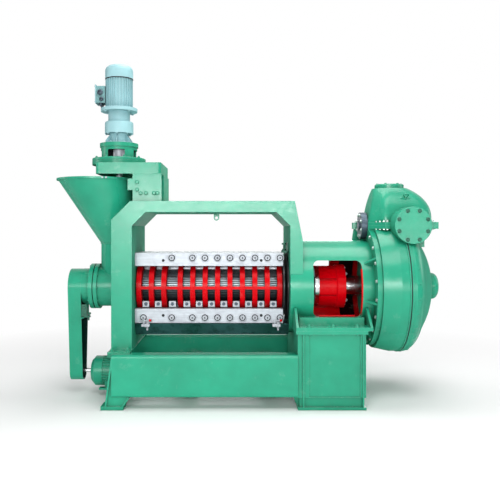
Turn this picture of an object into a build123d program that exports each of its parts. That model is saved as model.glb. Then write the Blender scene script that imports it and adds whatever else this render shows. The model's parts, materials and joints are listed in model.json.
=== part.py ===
from build123d import *
import os
from math import acos, atan2, cos, degrees, pi, radians, sin, sqrt, tan

os.makedirs("parts", exist_ok=True)

# Millimetres. X runs along the press from the belt guard to the gearbox, Y from the operator's
# side to the back, Z is up. The origin is on the floor, midway between the four anchor bolts.

# Main lines
shaft_height = 832.0
gear_module = 10.0
bull_teeth = 78
pinion_teeth = 16
centre_distance = gear_module * (bull_teeth + pinion_teeth) / 2
split_height = shaft_height + centre_distance
anchor_spacing_x = 1720.0
anchor_hole_radius = 11.0

# Clearances
running_clearance = 0.05
seat_clearance = 0.3

# Base
base_half_width = 510.0
anchor_edge_distance = 60.0
anchor_spacing_y = 2 * (base_half_width - anchor_edge_distance)
beam_width = 130.0
beam_wall = 12.0
beam_corner = 20.0
beam_bottom = 88.0
beam_height = 298.0
beam_left = -871.0
foot_plate_height = 26.0
foot_left = -946.0
foot_right = -786.0
foot_spread = 46.0
foot_cheek_recess = 16.0
cross_member_x = (-330.0, 250.0)
cross_member_height = 140.0
cross_member_wall = 16.0

# Pedestal
pedestal_left = 443.0
pedestal_length = 482.0
pedestal_top = shaft_height - 300.0
pedestal_wall = 12.0
pedestal_plinth = 85.0
plinth_inset = 14.0
pedestal_flange = 24.0
pedestal_overhang = 12.0
pedestal_foot_plate = 20.0
pedestal_gusset = 30.0
saddle_base = 25.0
saddle_plate = 18.0
saddle_left = 432.0
saddle_right = 973.0
saddle_wing_top = shaft_height - 132.0
saddle_wing_half_width = 345.0

# Portal frame
portal_half_depth = 340.0
portal_cheek = 15.0
portal_web = 12.0
column_left = -904.0
column_right = -753.0
portal_top = shaft_height + 648.0
portal_beam_bottom = portal_top - 81.0
portal_chamfer_outer = 139.0
portal_chamfer_inner = 100.0
post_left = 404.0
post_top_right = 437.0
post_foot_right = 496.0
column_sole_half_width = 450.0
column_sole_thickness = 10.0
column_sole_overhang = 3.0
hoist_lug_x = -145.0
hoist_lug_radius = 22.0
hoist_lug_drop = 36.0

# Coupling housing
layshaft_cover_radius = 104.0
layshaft_cover_depth = 45.0
cover_clearance = 8.0
housing_radius = centre_distance - layshaft_cover_radius - cover_clearance
housing_wall = 16.0
housing_left = 405.0
housing_right = 1018.0
housing_rib_start = 944.0
housing_rib_radius = 440.0
housing_rib_thickness = 14.0
housing_rib_angles = (-13.0, 32.0, -58.0, 148.0, 193.0, 238.0)
window_left = 574.0
window_right = 929.0
back_window_right = 780.0
window_bottom = shaft_height - 203.0
window_top = shaft_height + 211.0
window_corner = 42.0
housing_foot_left = 466.0
housing_foot_right = 936.0
housing_foot_half_width = 380.0
housing_foot_top = shaft_height - 198.0

# Gearbox
adapter_radius = 455.0
drum_left = 1056.0
drum_shoulder = 1180.0
drum_right = 1250.0
drum_radius = 501.0
drum_left_radius = 474.0
drum_wall = 16.0
split_flange = 25.0
split_ear_left = 945.0
split_ear_width = 60.0
split_right = 1510.0
split_half_width = 262.0
case_left = 1018.0
case_right = 1478.0
case_half_width = 228.0
case_corner_cut = 100.0
bevel_box_bottom = split_height - 162.0
bevel_box_right = 1415.0
case_gusset_thickness = 20.0
dome_shoulder = split_height + 188.0
dome_top = dome_shoulder + 100.0
dome_crown_radius = 130.0
dome_taper = 30.0
lid_radius = 111.0
lid_height = 34.0
lid_x = 1205.0
end_cover_flange = 39.0
end_cap_left = 1500.0
end_cap_length = 72.0
end_cap_radius = 102.0

# Gears
gear_backlash = 0.8
bull_face = 120.0
bull_left = 1064.0
bevel_module = 8.0
bevel_gear_teeth = 28
bevel_pinion_teeth = 14
bevel_face_share = 0.72
bevel_backlash = 1.2
pressure_angle = radians(20)
input_x = 1287.0

# Shafts
press_shaft_radius = 50.0
output_shaft_radius = 80.0
output_tail_radius = 60.0
layshaft_radius = 40.0
input_shaft_radius = 32.0
input_tail_radius = 30.0
input_tail_start = 375.0
input_shaft_end = 640.0
input_boss_radius = 135.0
input_boss_front = -385.0
input_boss_back = 350.0
input_cover_thickness = 16.0

# Pressing cage
cage_bore_radius = 101.0
lining_thickness = 27.0
lining_count = 56
lining_gap = 1.5
cage_left = column_right
cage_right = 361.0
rib_width = 37.0
rib_radius = 195.0
first_rib_x = -725.0
second_rib_group_x = -414.0
rib_pitch = 94.0
rib_groups = ((first_rib_x, 3), (second_rib_group_x, 9))
clamp_front = 195.0
clamp_split_gap = 6.0
clamp_upper_bottom = shaft_height + 166.0
clamp_upper_top = shaft_height + 263.0
clamp_lower_bottom = shaft_height - 263.0
clamp_lower_top = shaft_height - 157.0
tie_bar_size = 22.0
cage_bolt_radius = 12.0
cage_bolt_head_radius = 19.0
cage_bolt_head_height = 14.0
cage_bolt_offset = 12.0
cage_end_ring_radius = 262.0
cage_end_ring_thickness = 10.0
discharge_gap = 22.0

# Worms
worm_clearance = 3.0
worm_thickness = 20.0
worm_root_radii = (66.0, 72.0, 78.0, 84.0)
worm_pitches = (200.0, 170.0, 150.0, 130.0)
worm_start = -700.0
worm_length = 215.0
collar_length = 45.0
knife_reach = 10.0

# Feed end
feed_radius = 156.0
feed_bore_radius = 128.0
feed_left = -1049.0
feed_flange_radius = 175.0
feed_flange_thickness = 27.0
feed_flange_gap = 8.0
bearing_flange_thickness = 31.0
bearing_hub_radius = 136.0
bearing_hub_left = -1176.0
feeder_x = -906.0
neck_radius = 137.0
neck_wall = 10.0
neck_top = shaft_height + 333.0
hopper_rim_x = -1083.0
hopper_rim_radius = 298.0
hopper_rim_lip = 5.0
hopper_lip_height = 14.0
hopper_top = neck_top + 500.0
hopper_wall = 5.0
feed_worm_pitch = 110.0
feed_shaft_radius = 45.0

# Belt guard and small motor
guard_left = -1275.0
guard_depth = 99.0
guard_top_radius = 135.0
guard_bottom_radius = 70.0
guard_wall = 4.0
feed_pulley_radius = 105.0
motor_pulley_radius = 45.0
pulley_width = 50.0
pulley_clearance = 14.0
motor_axis_height = 172.0
motor_left = -1111.0
motor_length = 470.0
motor_radius = 114.0
motor_fin_height = 8.0
motor_fin_count = 32
motor_shaft_radius = 16.0
motor_foot_height = 14.0
motor_rail_height = 20.0
motor_bell = 90.0
motor_bell_cone = 28.0

# Vertical feeder
support_left = -760.0
support_right = -545.0
support_half_depth = 260.0
support_wall = 15.0
support_tab = 37.0
support_tab_height = 85.0
support_tab_top = 37.0
feeder_plate_left = -1036.0
feeder_plate_right = -551.0
feeder_plate_bottom = portal_top + 207.0
feeder_plate_height = 84.0
feeder_plate_wall = 12.0
lantern_base_radius = 206.0
lantern_base_thickness = 29.0
lantern_radius = 140.0
lantern_wall = 12.0
lantern_height = 110.0
lantern_top_radius = 148.0
lantern_top_thickness = 30.0
lantern_window_width = 130.0
lantern_window_height = 62.0
reducer_bell_radius = 72.0
reducer_bell_height = 79.0
reducer_body_radius = 110.0
reducer_body_height = 94.0
reducer_neck_radius = 84.0
reducer_neck_height = 77.0
motor_flange_radius = 141.0
motor_flange_thickness = 25.0
finned_motor_radius = 106.0
finned_motor_height = 231.0
cowl_radius = 108.0
cowl_height = 104.0
auger_shaft_radius = 25.0
auger_radius = 115.0
auger_pitch = 120.0

# Oil tray
tray_top = shaft_height - 266.0
tray_bottom = tray_top - 90.0
tray_top_half_width = 215.0
tray_bottom_half_width = 150.0
tray_wall = 4.0


def save(part, name):
    """Label one finished piece and write it under its own name."""
    part.label = name
    export_step(part, f"parts/{name}.step")


def x_plane(x, y=0.0, z=shaft_height):
    """A plane across X whose local axes are Y and Z, centred on a line along X."""
    return Plane(origin=(x, y, z), x_dir=(0, 1, 0), z_dir=(1, 0, 0))


def y_plane(y, x=0.0, z=0.0):
    """A plane across Y, seen from the front, whose local axes are X and Z."""
    return Plane(origin=(x, y, z), x_dir=(1, 0, 0), z_dir=(0, -1, 0))


def rib_places():
    """Middle of each rib of the cage along X."""
    return [start + i * rib_pitch for start, count in rib_groups for i in range(count)]


def helical_flight(start, root_radius, tip_radius, thickness, pitch, length):
    """One worm flight along +X from the point start, sunk 2 mm into its root."""
    sink = 2.0
    mid_radius = (root_radius - sink + tip_radius) / 2
    with BuildPart() as flight:
        with BuildLine() as path:
            Helix(pitch=pitch, height=length, radius=mid_radius, center=start, direction=(1, 0, 0))
        first = path.line @ 0
        outward = first - Vector(first.X, start[1], start[2])
        with BuildSketch(Plane(origin=first, x_dir=outward, z_dir=path.line % 0)):
            Rectangle(tip_radius - root_radius + sink, thickness)
        sweep(is_frenet=True)
    return flight.part


# Base beams: box sections with rounded corners, left end closed by the feet, right end by the pedestal
def base_beam(side):
    centre_y = side * (base_half_width - beam_width / 2)
    with BuildPart() as beam:
        with BuildSketch(x_plane(beam_left, centre_y, beam_bottom + beam_height / 2)):
            RectangleRounded(beam_width, beam_height, beam_corner)
            RectangleRounded(beam_width - 2 * beam_wall, beam_height - 2 * beam_wall,
                             beam_corner - beam_wall, mode=Mode.SUBTRACT)
        extrude(amount=pedestal_left - beam_left)
    return beam.part


save(base_beam(-1), "base_beam_front")
save(base_beam(1), "base_beam_back")

beam_inner = base_half_width - beam_width
beam_top = beam_bottom + beam_height

# Cross members: channels between the two beams
with BuildPart() as base_cross_members:
    for cross_x in cross_member_x:
        with BuildSketch(y_plane(beam_inner, cross_x, beam_bottom + cross_member_height / 2)):
            Rectangle(beam_width, cross_member_height)
            with Locations((cross_member_wall, 0)):
                Rectangle(beam_width, cross_member_height - 2 * cross_member_wall,
                          mode=Mode.SUBTRACT)
        extrude(amount=2 * beam_inner)
save(base_cross_members.part, "base_cross_members")

# Left feet: foot plate and two sloping plates as wide as the beam, with cheeks set in between them
with BuildPart() as left_feet:
    for side in (-1, 1):
        foot_y = side * (base_half_width - beam_width / 2)
        with Locations(((foot_left + foot_right) / 2, foot_y, foot_plate_height / 2)):
            Box(foot_right - foot_left, beam_width, foot_plate_height)
        for cheek_y in (foot_y - beam_width / 2 + beam_wall + foot_cheek_recess,
                        foot_y + beam_width / 2 - foot_cheek_recess):
            with BuildSketch(y_plane(cheek_y)):
                Polygon((beam_left, beam_bottom), (foot_right + foot_spread, beam_bottom),
                        (foot_right, foot_plate_height), (beam_left - foot_spread, foot_plate_height),
                        (beam_left, beam_top), align=None)
            extrude(amount=beam_wall)
        with BuildSketch(y_plane(foot_y + beam_width / 2)):
            Polygon((beam_left, beam_top), (beam_left - foot_spread, foot_plate_height),
                    (beam_left - foot_spread + beam_wall, foot_plate_height),
                    (beam_left, beam_top - 3 * beam_width / 4), align=None)
        extrude(amount=beam_width)
        with BuildSketch(y_plane(foot_y + beam_width / 2)):
            Polygon((foot_right + foot_spread, beam_bottom), (foot_right, foot_plate_height),
                    (foot_right - beam_wall, foot_plate_height),
                    (foot_right + foot_spread - beam_wall, beam_bottom), align=None)
        extrude(amount=beam_width)
        with BuildSketch():
            with Locations((-anchor_spacing_x / 2, side * anchor_spacing_y / 2)):
                Circle(anchor_hole_radius)
        extrude(amount=foot_plate_height, mode=Mode.SUBTRACT)
save(left_feet.part, "left_feet")

# Pedestal: plated box on a recessed plinth, open below, with fins on the front and back
pedestal_centre_x = pedestal_left + pedestal_length / 2
plinth_length = pedestal_length - 2 * plinth_inset
plinth_depth = 2 * (base_half_width - 2 * plinth_inset)
pedestal_depth = 2 * (base_half_width - plinth_inset)
foot_ring_width = 110.0
fin_thickness = 10.0
fin_depth = 12.0
panel_recess = 8.0
panel_margin = 40.0
with BuildPart() as pedestal:
    with BuildSketch(Plane.XY):
        with Locations((pedestal_centre_x, 0)):
            Rectangle(pedestal_length, 2 * base_half_width)
            Rectangle(pedestal_length - 2 * foot_ring_width, 2 * (base_half_width - foot_ring_width),
                      mode=Mode.SUBTRACT)
        for side in (-1, 1):
            with Locations((anchor_spacing_x / 2, side * anchor_spacing_y / 2)):
                Circle(anchor_hole_radius, mode=Mode.SUBTRACT)
    extrude(amount=pedestal_foot_plate)
    with BuildSketch(Plane.XY.offset(pedestal_foot_plate)):
        with Locations((pedestal_centre_x, 0)):
            Rectangle(plinth_length, plinth_depth)
            Rectangle(plinth_length - 2 * pedestal_wall, plinth_depth - 2 * pedestal_wall,
                      mode=Mode.SUBTRACT)
    extrude(amount=pedestal_plinth - pedestal_foot_plate)
    with BuildSketch(Plane.XY.offset(pedestal_plinth)):
        with Locations((pedestal_centre_x, 0)):
            Rectangle(pedestal_length, pedestal_depth)
            Rectangle(plinth_length - 2 * pedestal_wall, plinth_depth - 2 * pedestal_wall,
                      mode=Mode.SUBTRACT)
    extrude(amount=pedestal_top - pedestal_plinth)
    for side in (-1, 1):
        panel_face = side * pedestal_depth / 2
        with Locations((pedestal_centre_x + panel_margin / 2, panel_face,
                        (pedestal_plinth + pedestal_top) / 2)):
            Box(pedestal_length - 3 * panel_margin, 2 * panel_recess,
                pedestal_top - pedestal_plinth - panel_recess, mode=Mode.SUBTRACT)
        for fin_x in (pedestal_left + panel_margin, pedestal_left + pedestal_length - panel_margin / 2):
            with Locations((fin_x, side * (pedestal_depth + fin_depth) / 2,
                            (pedestal_foot_plate + pedestal_top) / 2)):
                Box(fin_thickness, fin_depth, pedestal_top - pedestal_foot_plate)
        with BuildSketch(y_plane(side * (base_half_width - beam_width / 2) + fin_thickness / 2)):
            Polygon((pedestal_left - pedestal_gusset, beam_bottom), (pedestal_left + plinth_inset, beam_bottom),
                    (pedestal_left + plinth_inset, pedestal_foot_plate),
                    (pedestal_left, pedestal_foot_plate), align=None)
        extrude(amount=fin_thickness)
    with BuildSketch(Plane.XY.offset(pedestal_top)):
        with Locations((pedestal_centre_x, 0)):
            Rectangle(pedestal_length + 2 * pedestal_overhang, 2 * base_half_width)
            Rectangle(plinth_length - 2 * pedestal_wall, plinth_depth - 2 * pedestal_wall,
                      mode=Mode.SUBTRACT)
    extrude(amount=pedestal_flange)
    with BuildSketch(x_plane(housing_left)):
        Circle(housing_radius + seat_clearance)
    extrude(amount=saddle_right - housing_left, mode=Mode.SUBTRACT)
save(pedestal.part, "pedestal")

# Saddle: base plate with a winged plate at each end, cut to the round of the housing
saddle_bottom = pedestal_top + pedestal_flange
saddle_floor = saddle_bottom + saddle_base
with BuildPart() as saddle:
    with Locations(((saddle_left + saddle_right) / 2, 0, saddle_bottom + saddle_base / 2)):
        Box(saddle_right - saddle_left, 2 * base_half_width, saddle_base)
    for plate_x in (saddle_left, saddle_right - saddle_plate):
        with BuildSketch(x_plane(plate_x, 0, 0)):
            Polygon((-base_half_width, saddle_floor), (base_half_width, saddle_floor),
                    (saddle_wing_half_width, saddle_wing_top),
                    (-saddle_wing_half_width, saddle_wing_top), align=None)
        extrude(amount=saddle_plate)
    with BuildSketch(x_plane(saddle_left)):
        Circle(housing_radius + seat_clearance)
    extrude(amount=saddle_right - saddle_left, mode=Mode.SUBTRACT)
save(saddle.part, "saddle")

# Portal frame: two cheeks joined by a web, open to the left where the feed housing enters
post_left_top = post_left - portal_chamfer_inner
with BuildPart() as portal_frame:
    with BuildSketch(Plane.XZ) as portal_outline:
        Polygon((column_left, beam_top), (column_left, portal_top - portal_chamfer_outer),
                (column_left + portal_chamfer_outer, portal_top), (post_top_right, portal_top),
                (post_foot_right, shaft_height + housing_radius), (post_foot_right, shaft_height),
                (post_left, shaft_height), (post_left, portal_beam_bottom - portal_chamfer_inner),
                (post_left_top, portal_beam_bottom),
                (column_right + portal_chamfer_inner, portal_beam_bottom),
                (column_right, portal_beam_bottom - portal_chamfer_inner), (column_right, beam_top),
                align=None)
    extrude(amount=portal_half_depth, both=True)
    with BuildSketch(Plane.XZ):
        add(portal_outline.sketch)
        offset(amount=-portal_web, kind=Kind.INTERSECTION)
    extrude(amount=portal_half_depth - portal_cheek, both=True, mode=Mode.SUBTRACT)
    with BuildSketch(Plane.XZ):
        with Locations((column_left - portal_web, beam_top + portal_web)):
            Rectangle(column_right - column_left, portal_top - beam_top - 2 * portal_web,
                      align=(Align.MIN, Align.MIN))
    extrude(amount=portal_half_depth - portal_cheek, both=True, mode=Mode.SUBTRACT)
    with BuildSketch(x_plane(column_left)):
        Circle(feed_bore_radius)
    extrude(amount=column_right - column_left + portal_web, mode=Mode.SUBTRACT)
    with BuildSketch(x_plane(post_left - portal_web)):
        Circle(housing_radius)
    extrude(amount=post_foot_right - post_left + 2 * portal_web, mode=Mode.SUBTRACT)
    with Locations(((column_left + column_right) / 2, 0, beam_top + column_sole_thickness / 2)):
        Box(column_right - column_left + 2 * column_sole_overhang, 2 * column_sole_half_width,
            column_sole_thickness)
    with BuildSketch(y_plane(portal_cheek / 2, hoist_lug_x, portal_beam_bottom)):
        with Locations((0, -hoist_lug_drop / 2)):
            Rectangle(2 * hoist_lug_radius, hoist_lug_drop)
        with Locations((0, -hoist_lug_drop)):
            Circle(hoist_lug_radius)
            Circle(hoist_lug_radius / 2, mode=Mode.SUBTRACT)
    extrude(amount=portal_cheek)
save(portal_frame.part, "portal_frame")

# Coupling housing: tube with ribs at its right end, a wide window in front, a narrower one behind and a long foot
bearing_seat_radius = 190.0
with BuildPart() as coupling_housing:
    with BuildSketch(Plane.XZ):
        with BuildLine():
            Polyline((housing_left, shaft_height + bearing_seat_radius),
                     (housing_left, shaft_height + housing_radius),
                     (housing_right, shaft_height + housing_radius),
                     (housing_right, shaft_height + housing_radius - housing_wall),
                     (housing_left + housing_wall, shaft_height + housing_radius - housing_wall),
                     (housing_left + housing_wall, shaft_height + bearing_seat_radius),
                     (housing_left, shaft_height + bearing_seat_radius))
        make_face()
    revolve(axis=Axis((0, 0, shaft_height), (1, 0, 0)))
    for angle in housing_rib_angles:
        outward = Vector(0, -cos(radians(angle)), sin(radians(angle)))
        rib_plane = Plane(origin=(0, 0, shaft_height), x_dir=(1, 0, 0),
                          z_dir=Vector(1, 0, 0).cross(outward))
        with BuildSketch(rib_plane):
            Polygon((housing_rib_start, housing_radius - 2), (housing_right, housing_radius - 2),
                    (housing_right, housing_rib_radius), align=None)
        extrude(amount=housing_rib_thickness / 2, both=True)
    with Locations(((housing_foot_left + housing_foot_right) / 2, 0,
                    (saddle_floor + housing_foot_top) / 2)):
        Box(housing_foot_right - housing_foot_left, 2 * housing_foot_half_width,
            housing_foot_top - saddle_floor)
    with BuildSketch(x_plane(housing_left + housing_wall)):
        Circle(housing_radius - housing_wall)
    extrude(amount=housing_right - housing_left - housing_wall, mode=Mode.SUBTRACT)
    for window_y, right in ((0, window_right), (housing_radius, back_window_right)):
        with BuildSketch(y_plane(window_y, (window_left + right) / 2, (window_bottom + window_top) / 2)):
            RectangleRounded(right - window_left, window_top - window_bottom, window_corner)
        extrude(amount=housing_radius, mode=Mode.SUBTRACT)
save(coupling_housing.part, "coupling_housing")

# Thrust bearing: carries the pressing force at the housing's left wall
thrust_bearing_length = 130.0
thrust_bore = output_shaft_radius + running_clearance
with BuildPart() as thrust_bearing:
    with BuildSketch(x_plane(housing_left)):
        Circle(bearing_seat_radius)
        Circle(thrust_bore, mode=Mode.SUBTRACT)
    extrude(amount=thrust_bearing_length)
    fillet(thrust_bearing.edges().filter_by(GeomType.CIRCLE).group_by(Axis.X)[-1][-1:], 10)
save(thrust_bearing.part, "thrust_bearing")

# Discharge ring: black plate that closes the housing towards the cake outlet
with BuildPart() as discharge_ring:
    with BuildSketch(x_plane(cage_right + cage_end_ring_thickness + discharge_gap)):
        Circle(cage_end_ring_radius)
        Circle(thrust_bore, mode=Mode.SUBTRACT)
    extrude(amount=housing_left - cage_right - cage_end_ring_thickness - discharge_gap)
save(discharge_ring.part, "discharge_ring")

# Gearbox lower case: drum with adapter flange, bevel gear box and the lower half of the split flange
output_bearing_radius = 140.0
layshaft_bearing_radius = 72.0
case_nose = layshaft_cover_radius + 12
ear_inner = case_nose
ear_outer = case_nose + split_ear_width


def case_plan(half_width, right, inset=0.0):
    """Plan of the case, drawn in by one inset, with its left corners cut off beside the layshaft cover."""
    nose = case_nose - inset / 2
    width = half_width - inset
    return Polygon((case_left + inset, -nose), (case_left + case_corner_cut, -width), (right - inset, -width),
                   (right - inset, width), (case_left + case_corner_cut, width), (case_left + inset, nose),
                   align=None)


def split_plate(floor):
    """Half of the split flange, with an ear at its left end behind the layshaft cover."""
    with BuildPart() as plate:
        with BuildSketch(Plane.XY.offset(floor)):
            case_plan(split_half_width, split_right)
            Polygon((split_ear_left, ear_inner + 8), (split_ear_left, ear_outer - 8),
                    (case_left + case_corner_cut / 2, ear_outer), (case_left, ear_inner), align=None)
        extrude(amount=split_flange)
    return plate.part


boss_seat = case_half_width - 2 * drum_wall
gear_room_radius = gear_module * bull_teeth / 2 + 2.5 * gear_module
gear_room_right = bull_left + bull_face + gear_module
with BuildPart() as gearbox_case:
    with BuildSketch(Plane.XZ):
        with BuildLine():
            Polyline((housing_right, shaft_height + output_bearing_radius),
                     (housing_right, shaft_height + adapter_radius),
                     (drum_left, shaft_height + adapter_radius),
                     (drum_left, shaft_height + drum_left_radius),
                     (drum_shoulder, shaft_height + drum_radius),
                     (drum_right, shaft_height + drum_radius),
                     (drum_right, shaft_height),
                     (drum_left - 12, shaft_height),
                     (drum_left - 12, shaft_height + output_bearing_radius),
                     (housing_right, shaft_height + output_bearing_radius))
        make_face()
    revolve(axis=Axis((0, 0, shaft_height), (1, 0, 0)))
    with Locations((0, 0, split_height)):
        Box(4 * split_right, 4 * drum_radius, 2 * drum_radius,
            align=(Align.CENTER, Align.CENTER, Align.MIN), mode=Mode.SUBTRACT)
    with BuildSketch(x_plane(drum_left)):
        Circle(drum_left_radius - drum_wall)
    extrude(amount=drum_right - drum_left, mode=Mode.SUBTRACT)
    with BuildSketch(Plane.XY.offset(bevel_box_bottom)):
        case_plan(case_half_width, bevel_box_right)
    extrude(amount=split_height - bevel_box_bottom)
    add(split_plate(split_height - split_flange))
    with BuildSketch(y_plane((ear_inner + ear_outer + case_gusset_thickness) / 2)):
        Polygon((split_ear_left + 10, split_height - split_flange), (case_left + 40, split_height - split_flange),
                (case_left + 40, bevel_box_bottom), (split_ear_left - 10, bevel_box_bottom), align=None)
    extrude(amount=case_gusset_thickness)
    with BuildSketch(x_plane(split_ear_left - 10)):
        Circle(housing_radius + seat_clearance)
    extrude(amount=housing_right - split_ear_left + 10, mode=Mode.SUBTRACT)
    with BuildSketch(Plane.XY.offset(bevel_box_bottom + drum_wall)):
        case_plan(case_half_width, bevel_box_right, drum_wall)
    extrude(amount=split_height - bevel_box_bottom, mode=Mode.SUBTRACT)
    with BuildSketch(x_plane(drum_left - 12)):
        Circle(gear_room_radius)
    extrude(amount=gear_room_right - drum_left + 12, mode=Mode.SUBTRACT)
    with BuildSketch(x_plane(drum_left - drum_wall)):
        Circle(output_bearing_radius - drum_wall)
    extrude(amount=drum_wall, mode=Mode.SUBTRACT)
    with BuildSketch(x_plane(case_left, 0, split_height)):
        Circle(layshaft_bearing_radius)
    extrude(amount=drum_left - case_left, mode=Mode.SUBTRACT)
    for seat_y in (drum_radius, -boss_seat):
        with BuildSketch(y_plane(seat_y, input_x, split_height)):
            Circle(input_boss_radius)
        extrude(amount=drum_radius - boss_seat, mode=Mode.SUBTRACT)
save(gearbox_case.part, "gearbox_case")

# Gearbox upper case: cast hood over the pinion and bevel gears, lofted from the split flange to the lid
dome_bottom = split_height + split_flange


def hood(inset, floor, ceiling):
    """Hood form with cut left corners, drawn in by one inset all round."""
    with BuildPart() as form:
        with BuildSketch(Plane.XY.offset(floor)) as foot:
            case_plan(case_half_width, case_right, inset)
            fillet(foot.vertices(), 50 - inset)
        with BuildSketch(Plane.XY.offset(dome_shoulder - inset)) as shoulder:
            case_plan(case_half_width, case_right, inset + dome_taper)
            fillet(shoulder.vertices(), 80 - inset)
        with BuildSketch(Plane.XY.offset(ceiling)) as crown:
            reach = dome_crown_radius - inset
            Polygon((lid_x - reach, -reach / 2), (lid_x - reach / 3, -reach), (lid_x + reach, -reach),
                    (lid_x + reach, reach), (lid_x - reach / 3, reach), (lid_x - reach, reach / 2), align=None)
            fillet(crown.vertices(), reach * 0.75)
        loft()
    return form.part


with BuildPart() as gearbox_upper_case:
    add(split_plate(split_height))
    add(hood(0, dome_bottom, dome_top))
    add(hood(drum_wall, dome_bottom, dome_top - drum_wall), mode=Mode.SUBTRACT)
    with BuildSketch(Plane.XY.offset(split_height)):
        case_plan(case_half_width, case_right, drum_wall)
    extrude(amount=split_flange, mode=Mode.SUBTRACT)
    with BuildSketch(Plane.XY.offset(dome_top - 2 * drum_wall)):
        with Locations((lid_x, 0)):
            Circle(lid_radius - 2 * drum_wall)
    extrude(amount=3 * drum_wall, mode=Mode.SUBTRACT)
    with BuildSketch(x_plane(case_left, 0, split_height)):
        Circle(layshaft_bearing_radius)
    extrude(amount=drum_left - case_left, mode=Mode.SUBTRACT)
    for seat_y in (drum_radius, -boss_seat):
        with BuildSketch(y_plane(seat_y, input_x, split_height)):
            Circle(input_boss_radius)
        extrude(amount=drum_radius - boss_seat, mode=Mode.SUBTRACT)
save(gearbox_upper_case.part, "gearbox_upper_case")

# Round lid on the hood
with BuildPart() as gearbox_lid:
    with BuildSketch(Plane.XY.offset(dome_top)):
        with Locations((lid_x, 0)):
            Circle(lid_radius)
    extrude(amount=lid_height)
    chamfer(gearbox_lid.faces().sort_by(Axis.Z)[-1].edges(), 6)
save(gearbox_lid.part, "gearbox_lid")

# End cover: domed casting, notched at the top where the bevel gear box sits
cover_points = ((end_cover_flange, 0), (104, -50), (130, -100), (188, -200), (229, -300), (243, -350))
tail_bearing_radius = 88.0
with BuildPart() as gearbox_end_cover:
    with BuildSketch(Plane.XZ):
        with BuildLine():
            rim = shaft_height + drum_radius
            outer = [(drum_right + dx, rim + dr) for dx, dr in cover_points]
            inner = [(drum_right + dx - 1.2 * drum_wall, rim + dr - 0.8 * drum_wall)
                     for dx, dr in cover_points]
            Line((drum_right, rim), outer[0])
            Spline(*outer)
            Line(outer[-1], (end_cap_left, shaft_height + end_cap_radius))
            Line((end_cap_left, shaft_height + end_cap_radius),
                 (end_cap_left, shaft_height + tail_bearing_radius))
            Line((end_cap_left, shaft_height + tail_bearing_radius),
                 (end_cap_left - 70, shaft_height + tail_bearing_radius))
            Line((end_cap_left - 70, shaft_height + tail_bearing_radius),
                 (end_cap_left - 70, shaft_height + tail_bearing_radius + drum_wall))
            Line((end_cap_left - 70, shaft_height + tail_bearing_radius + drum_wall), inner[-1])
            Spline(*reversed(inner))
            Line(inner[0], (drum_right, inner[0][1]))
            Line((drum_right, inner[0][1]), (drum_right, rim))
        make_face()
    revolve(axis=Axis((0, 0, shaft_height), (1, 0, 0)))
    with Locations((drum_right, 0, bevel_box_bottom)):
        Box(2 * drum_radius, 2 * case_half_width, drum_radius,
            align=(Align.CENTER, Align.CENTER, Align.MIN), mode=Mode.SUBTRACT)
    with Locations((drum_right, 0, split_height - split_flange)):
        Box(2 * drum_radius, 3 * drum_radius, drum_radius,
            align=(Align.CENTER, Align.CENTER, Align.MIN), mode=Mode.SUBTRACT)
    with BuildSketch(y_plane(drum_radius, input_x, split_height)):
        Circle(input_boss_radius + seat_clearance)
    extrude(amount=2 * drum_radius, mode=Mode.SUBTRACT)
save(gearbox_end_cover.part, "gearbox_end_cover")

# End cap over the tail of the output shaft
with BuildPart() as gearbox_end_cap:
    with BuildSketch(x_plane(end_cap_left)):
        Circle(end_cap_radius)
    extrude(amount=end_cap_length)
    fillet(gearbox_end_cap.faces().sort_by(Axis.X)[-1].edges(), 40)
    with BuildSketch(x_plane(end_cap_left)):
        Circle(output_tail_radius + 12)
    extrude(amount=end_cap_length - drum_wall, mode=Mode.SUBTRACT)
save(gearbox_end_cap.part, "gearbox_end_cap")

# Layshaft cover: dark steel bearing cap on the left end of the split line
with BuildPart() as layshaft_cover:
    with BuildSketch(x_plane(case_left - layshaft_cover_depth, 0, split_height)):
        Circle(layshaft_cover_radius)
    extrude(amount=layshaft_cover_depth)
    with BuildSketch(x_plane(case_left, 0, split_height)):
        Circle(layshaft_radius + 8)
    extrude(amount=-layshaft_cover_depth + 12, mode=Mode.SUBTRACT)
    with BuildSketch(x_plane(case_left - layshaft_cover_depth, 0, split_height)):
        Circle(36)
    extrude(amount=-12)
save(layshaft_cover.part, "layshaft_cover")

# Input bearing housings: front boss with its eight-bolt cover, back boss with the shaft coming through
input_bearing_radius = 92.0
input_bearing_length = 50.0
input_front_seat = -330.0
input_back_seat = 290.0
with BuildPart() as input_bearing_housing:
    for boss_near, boss_far in ((input_boss_front, -boss_seat), (boss_seat, input_boss_back)):
        with BuildSketch(y_plane(boss_far, input_x, split_height)):
            Circle(input_boss_radius)
            Circle(input_bearing_radius, mode=Mode.SUBTRACT)
        extrude(amount=boss_far - boss_near)
save(input_bearing_housing.part, "input_bearing_housing")

with BuildPart() as input_front_cover:
    with BuildSketch(y_plane(input_boss_front, input_x, split_height)):
        Circle(input_boss_radius)
    extrude(amount=input_cover_thickness)
    chamfer(input_front_cover.faces().sort_by(Axis.Y)[0].edges(), 3)
save(input_front_cover.part, "input_front_cover")

with BuildPart() as input_back_cover:
    with BuildSketch(y_plane(input_boss_back + input_cover_thickness, input_x, split_height)):
        Circle(input_boss_radius)
        Circle(input_shaft_radius + running_clearance, mode=Mode.SUBTRACT)
    extrude(amount=input_cover_thickness)
save(input_back_cover.part, "input_back_cover")


# Gears: involute flanks, kept as a few points from root to tip
def involute(angle):
    return tan(angle) - angle


def half_tooth(radius, pitch_radius, teeth, backlash):
    """Half the angle that a tooth takes up at one radius."""
    base = pitch_radius * cos(pressure_angle)
    here = acos(min(1.0, base / radius))
    at_pitch = pi / (2 * teeth) - backlash / (2 * pitch_radius)
    return at_pitch + involute(pressure_angle) - involute(here)


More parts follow.
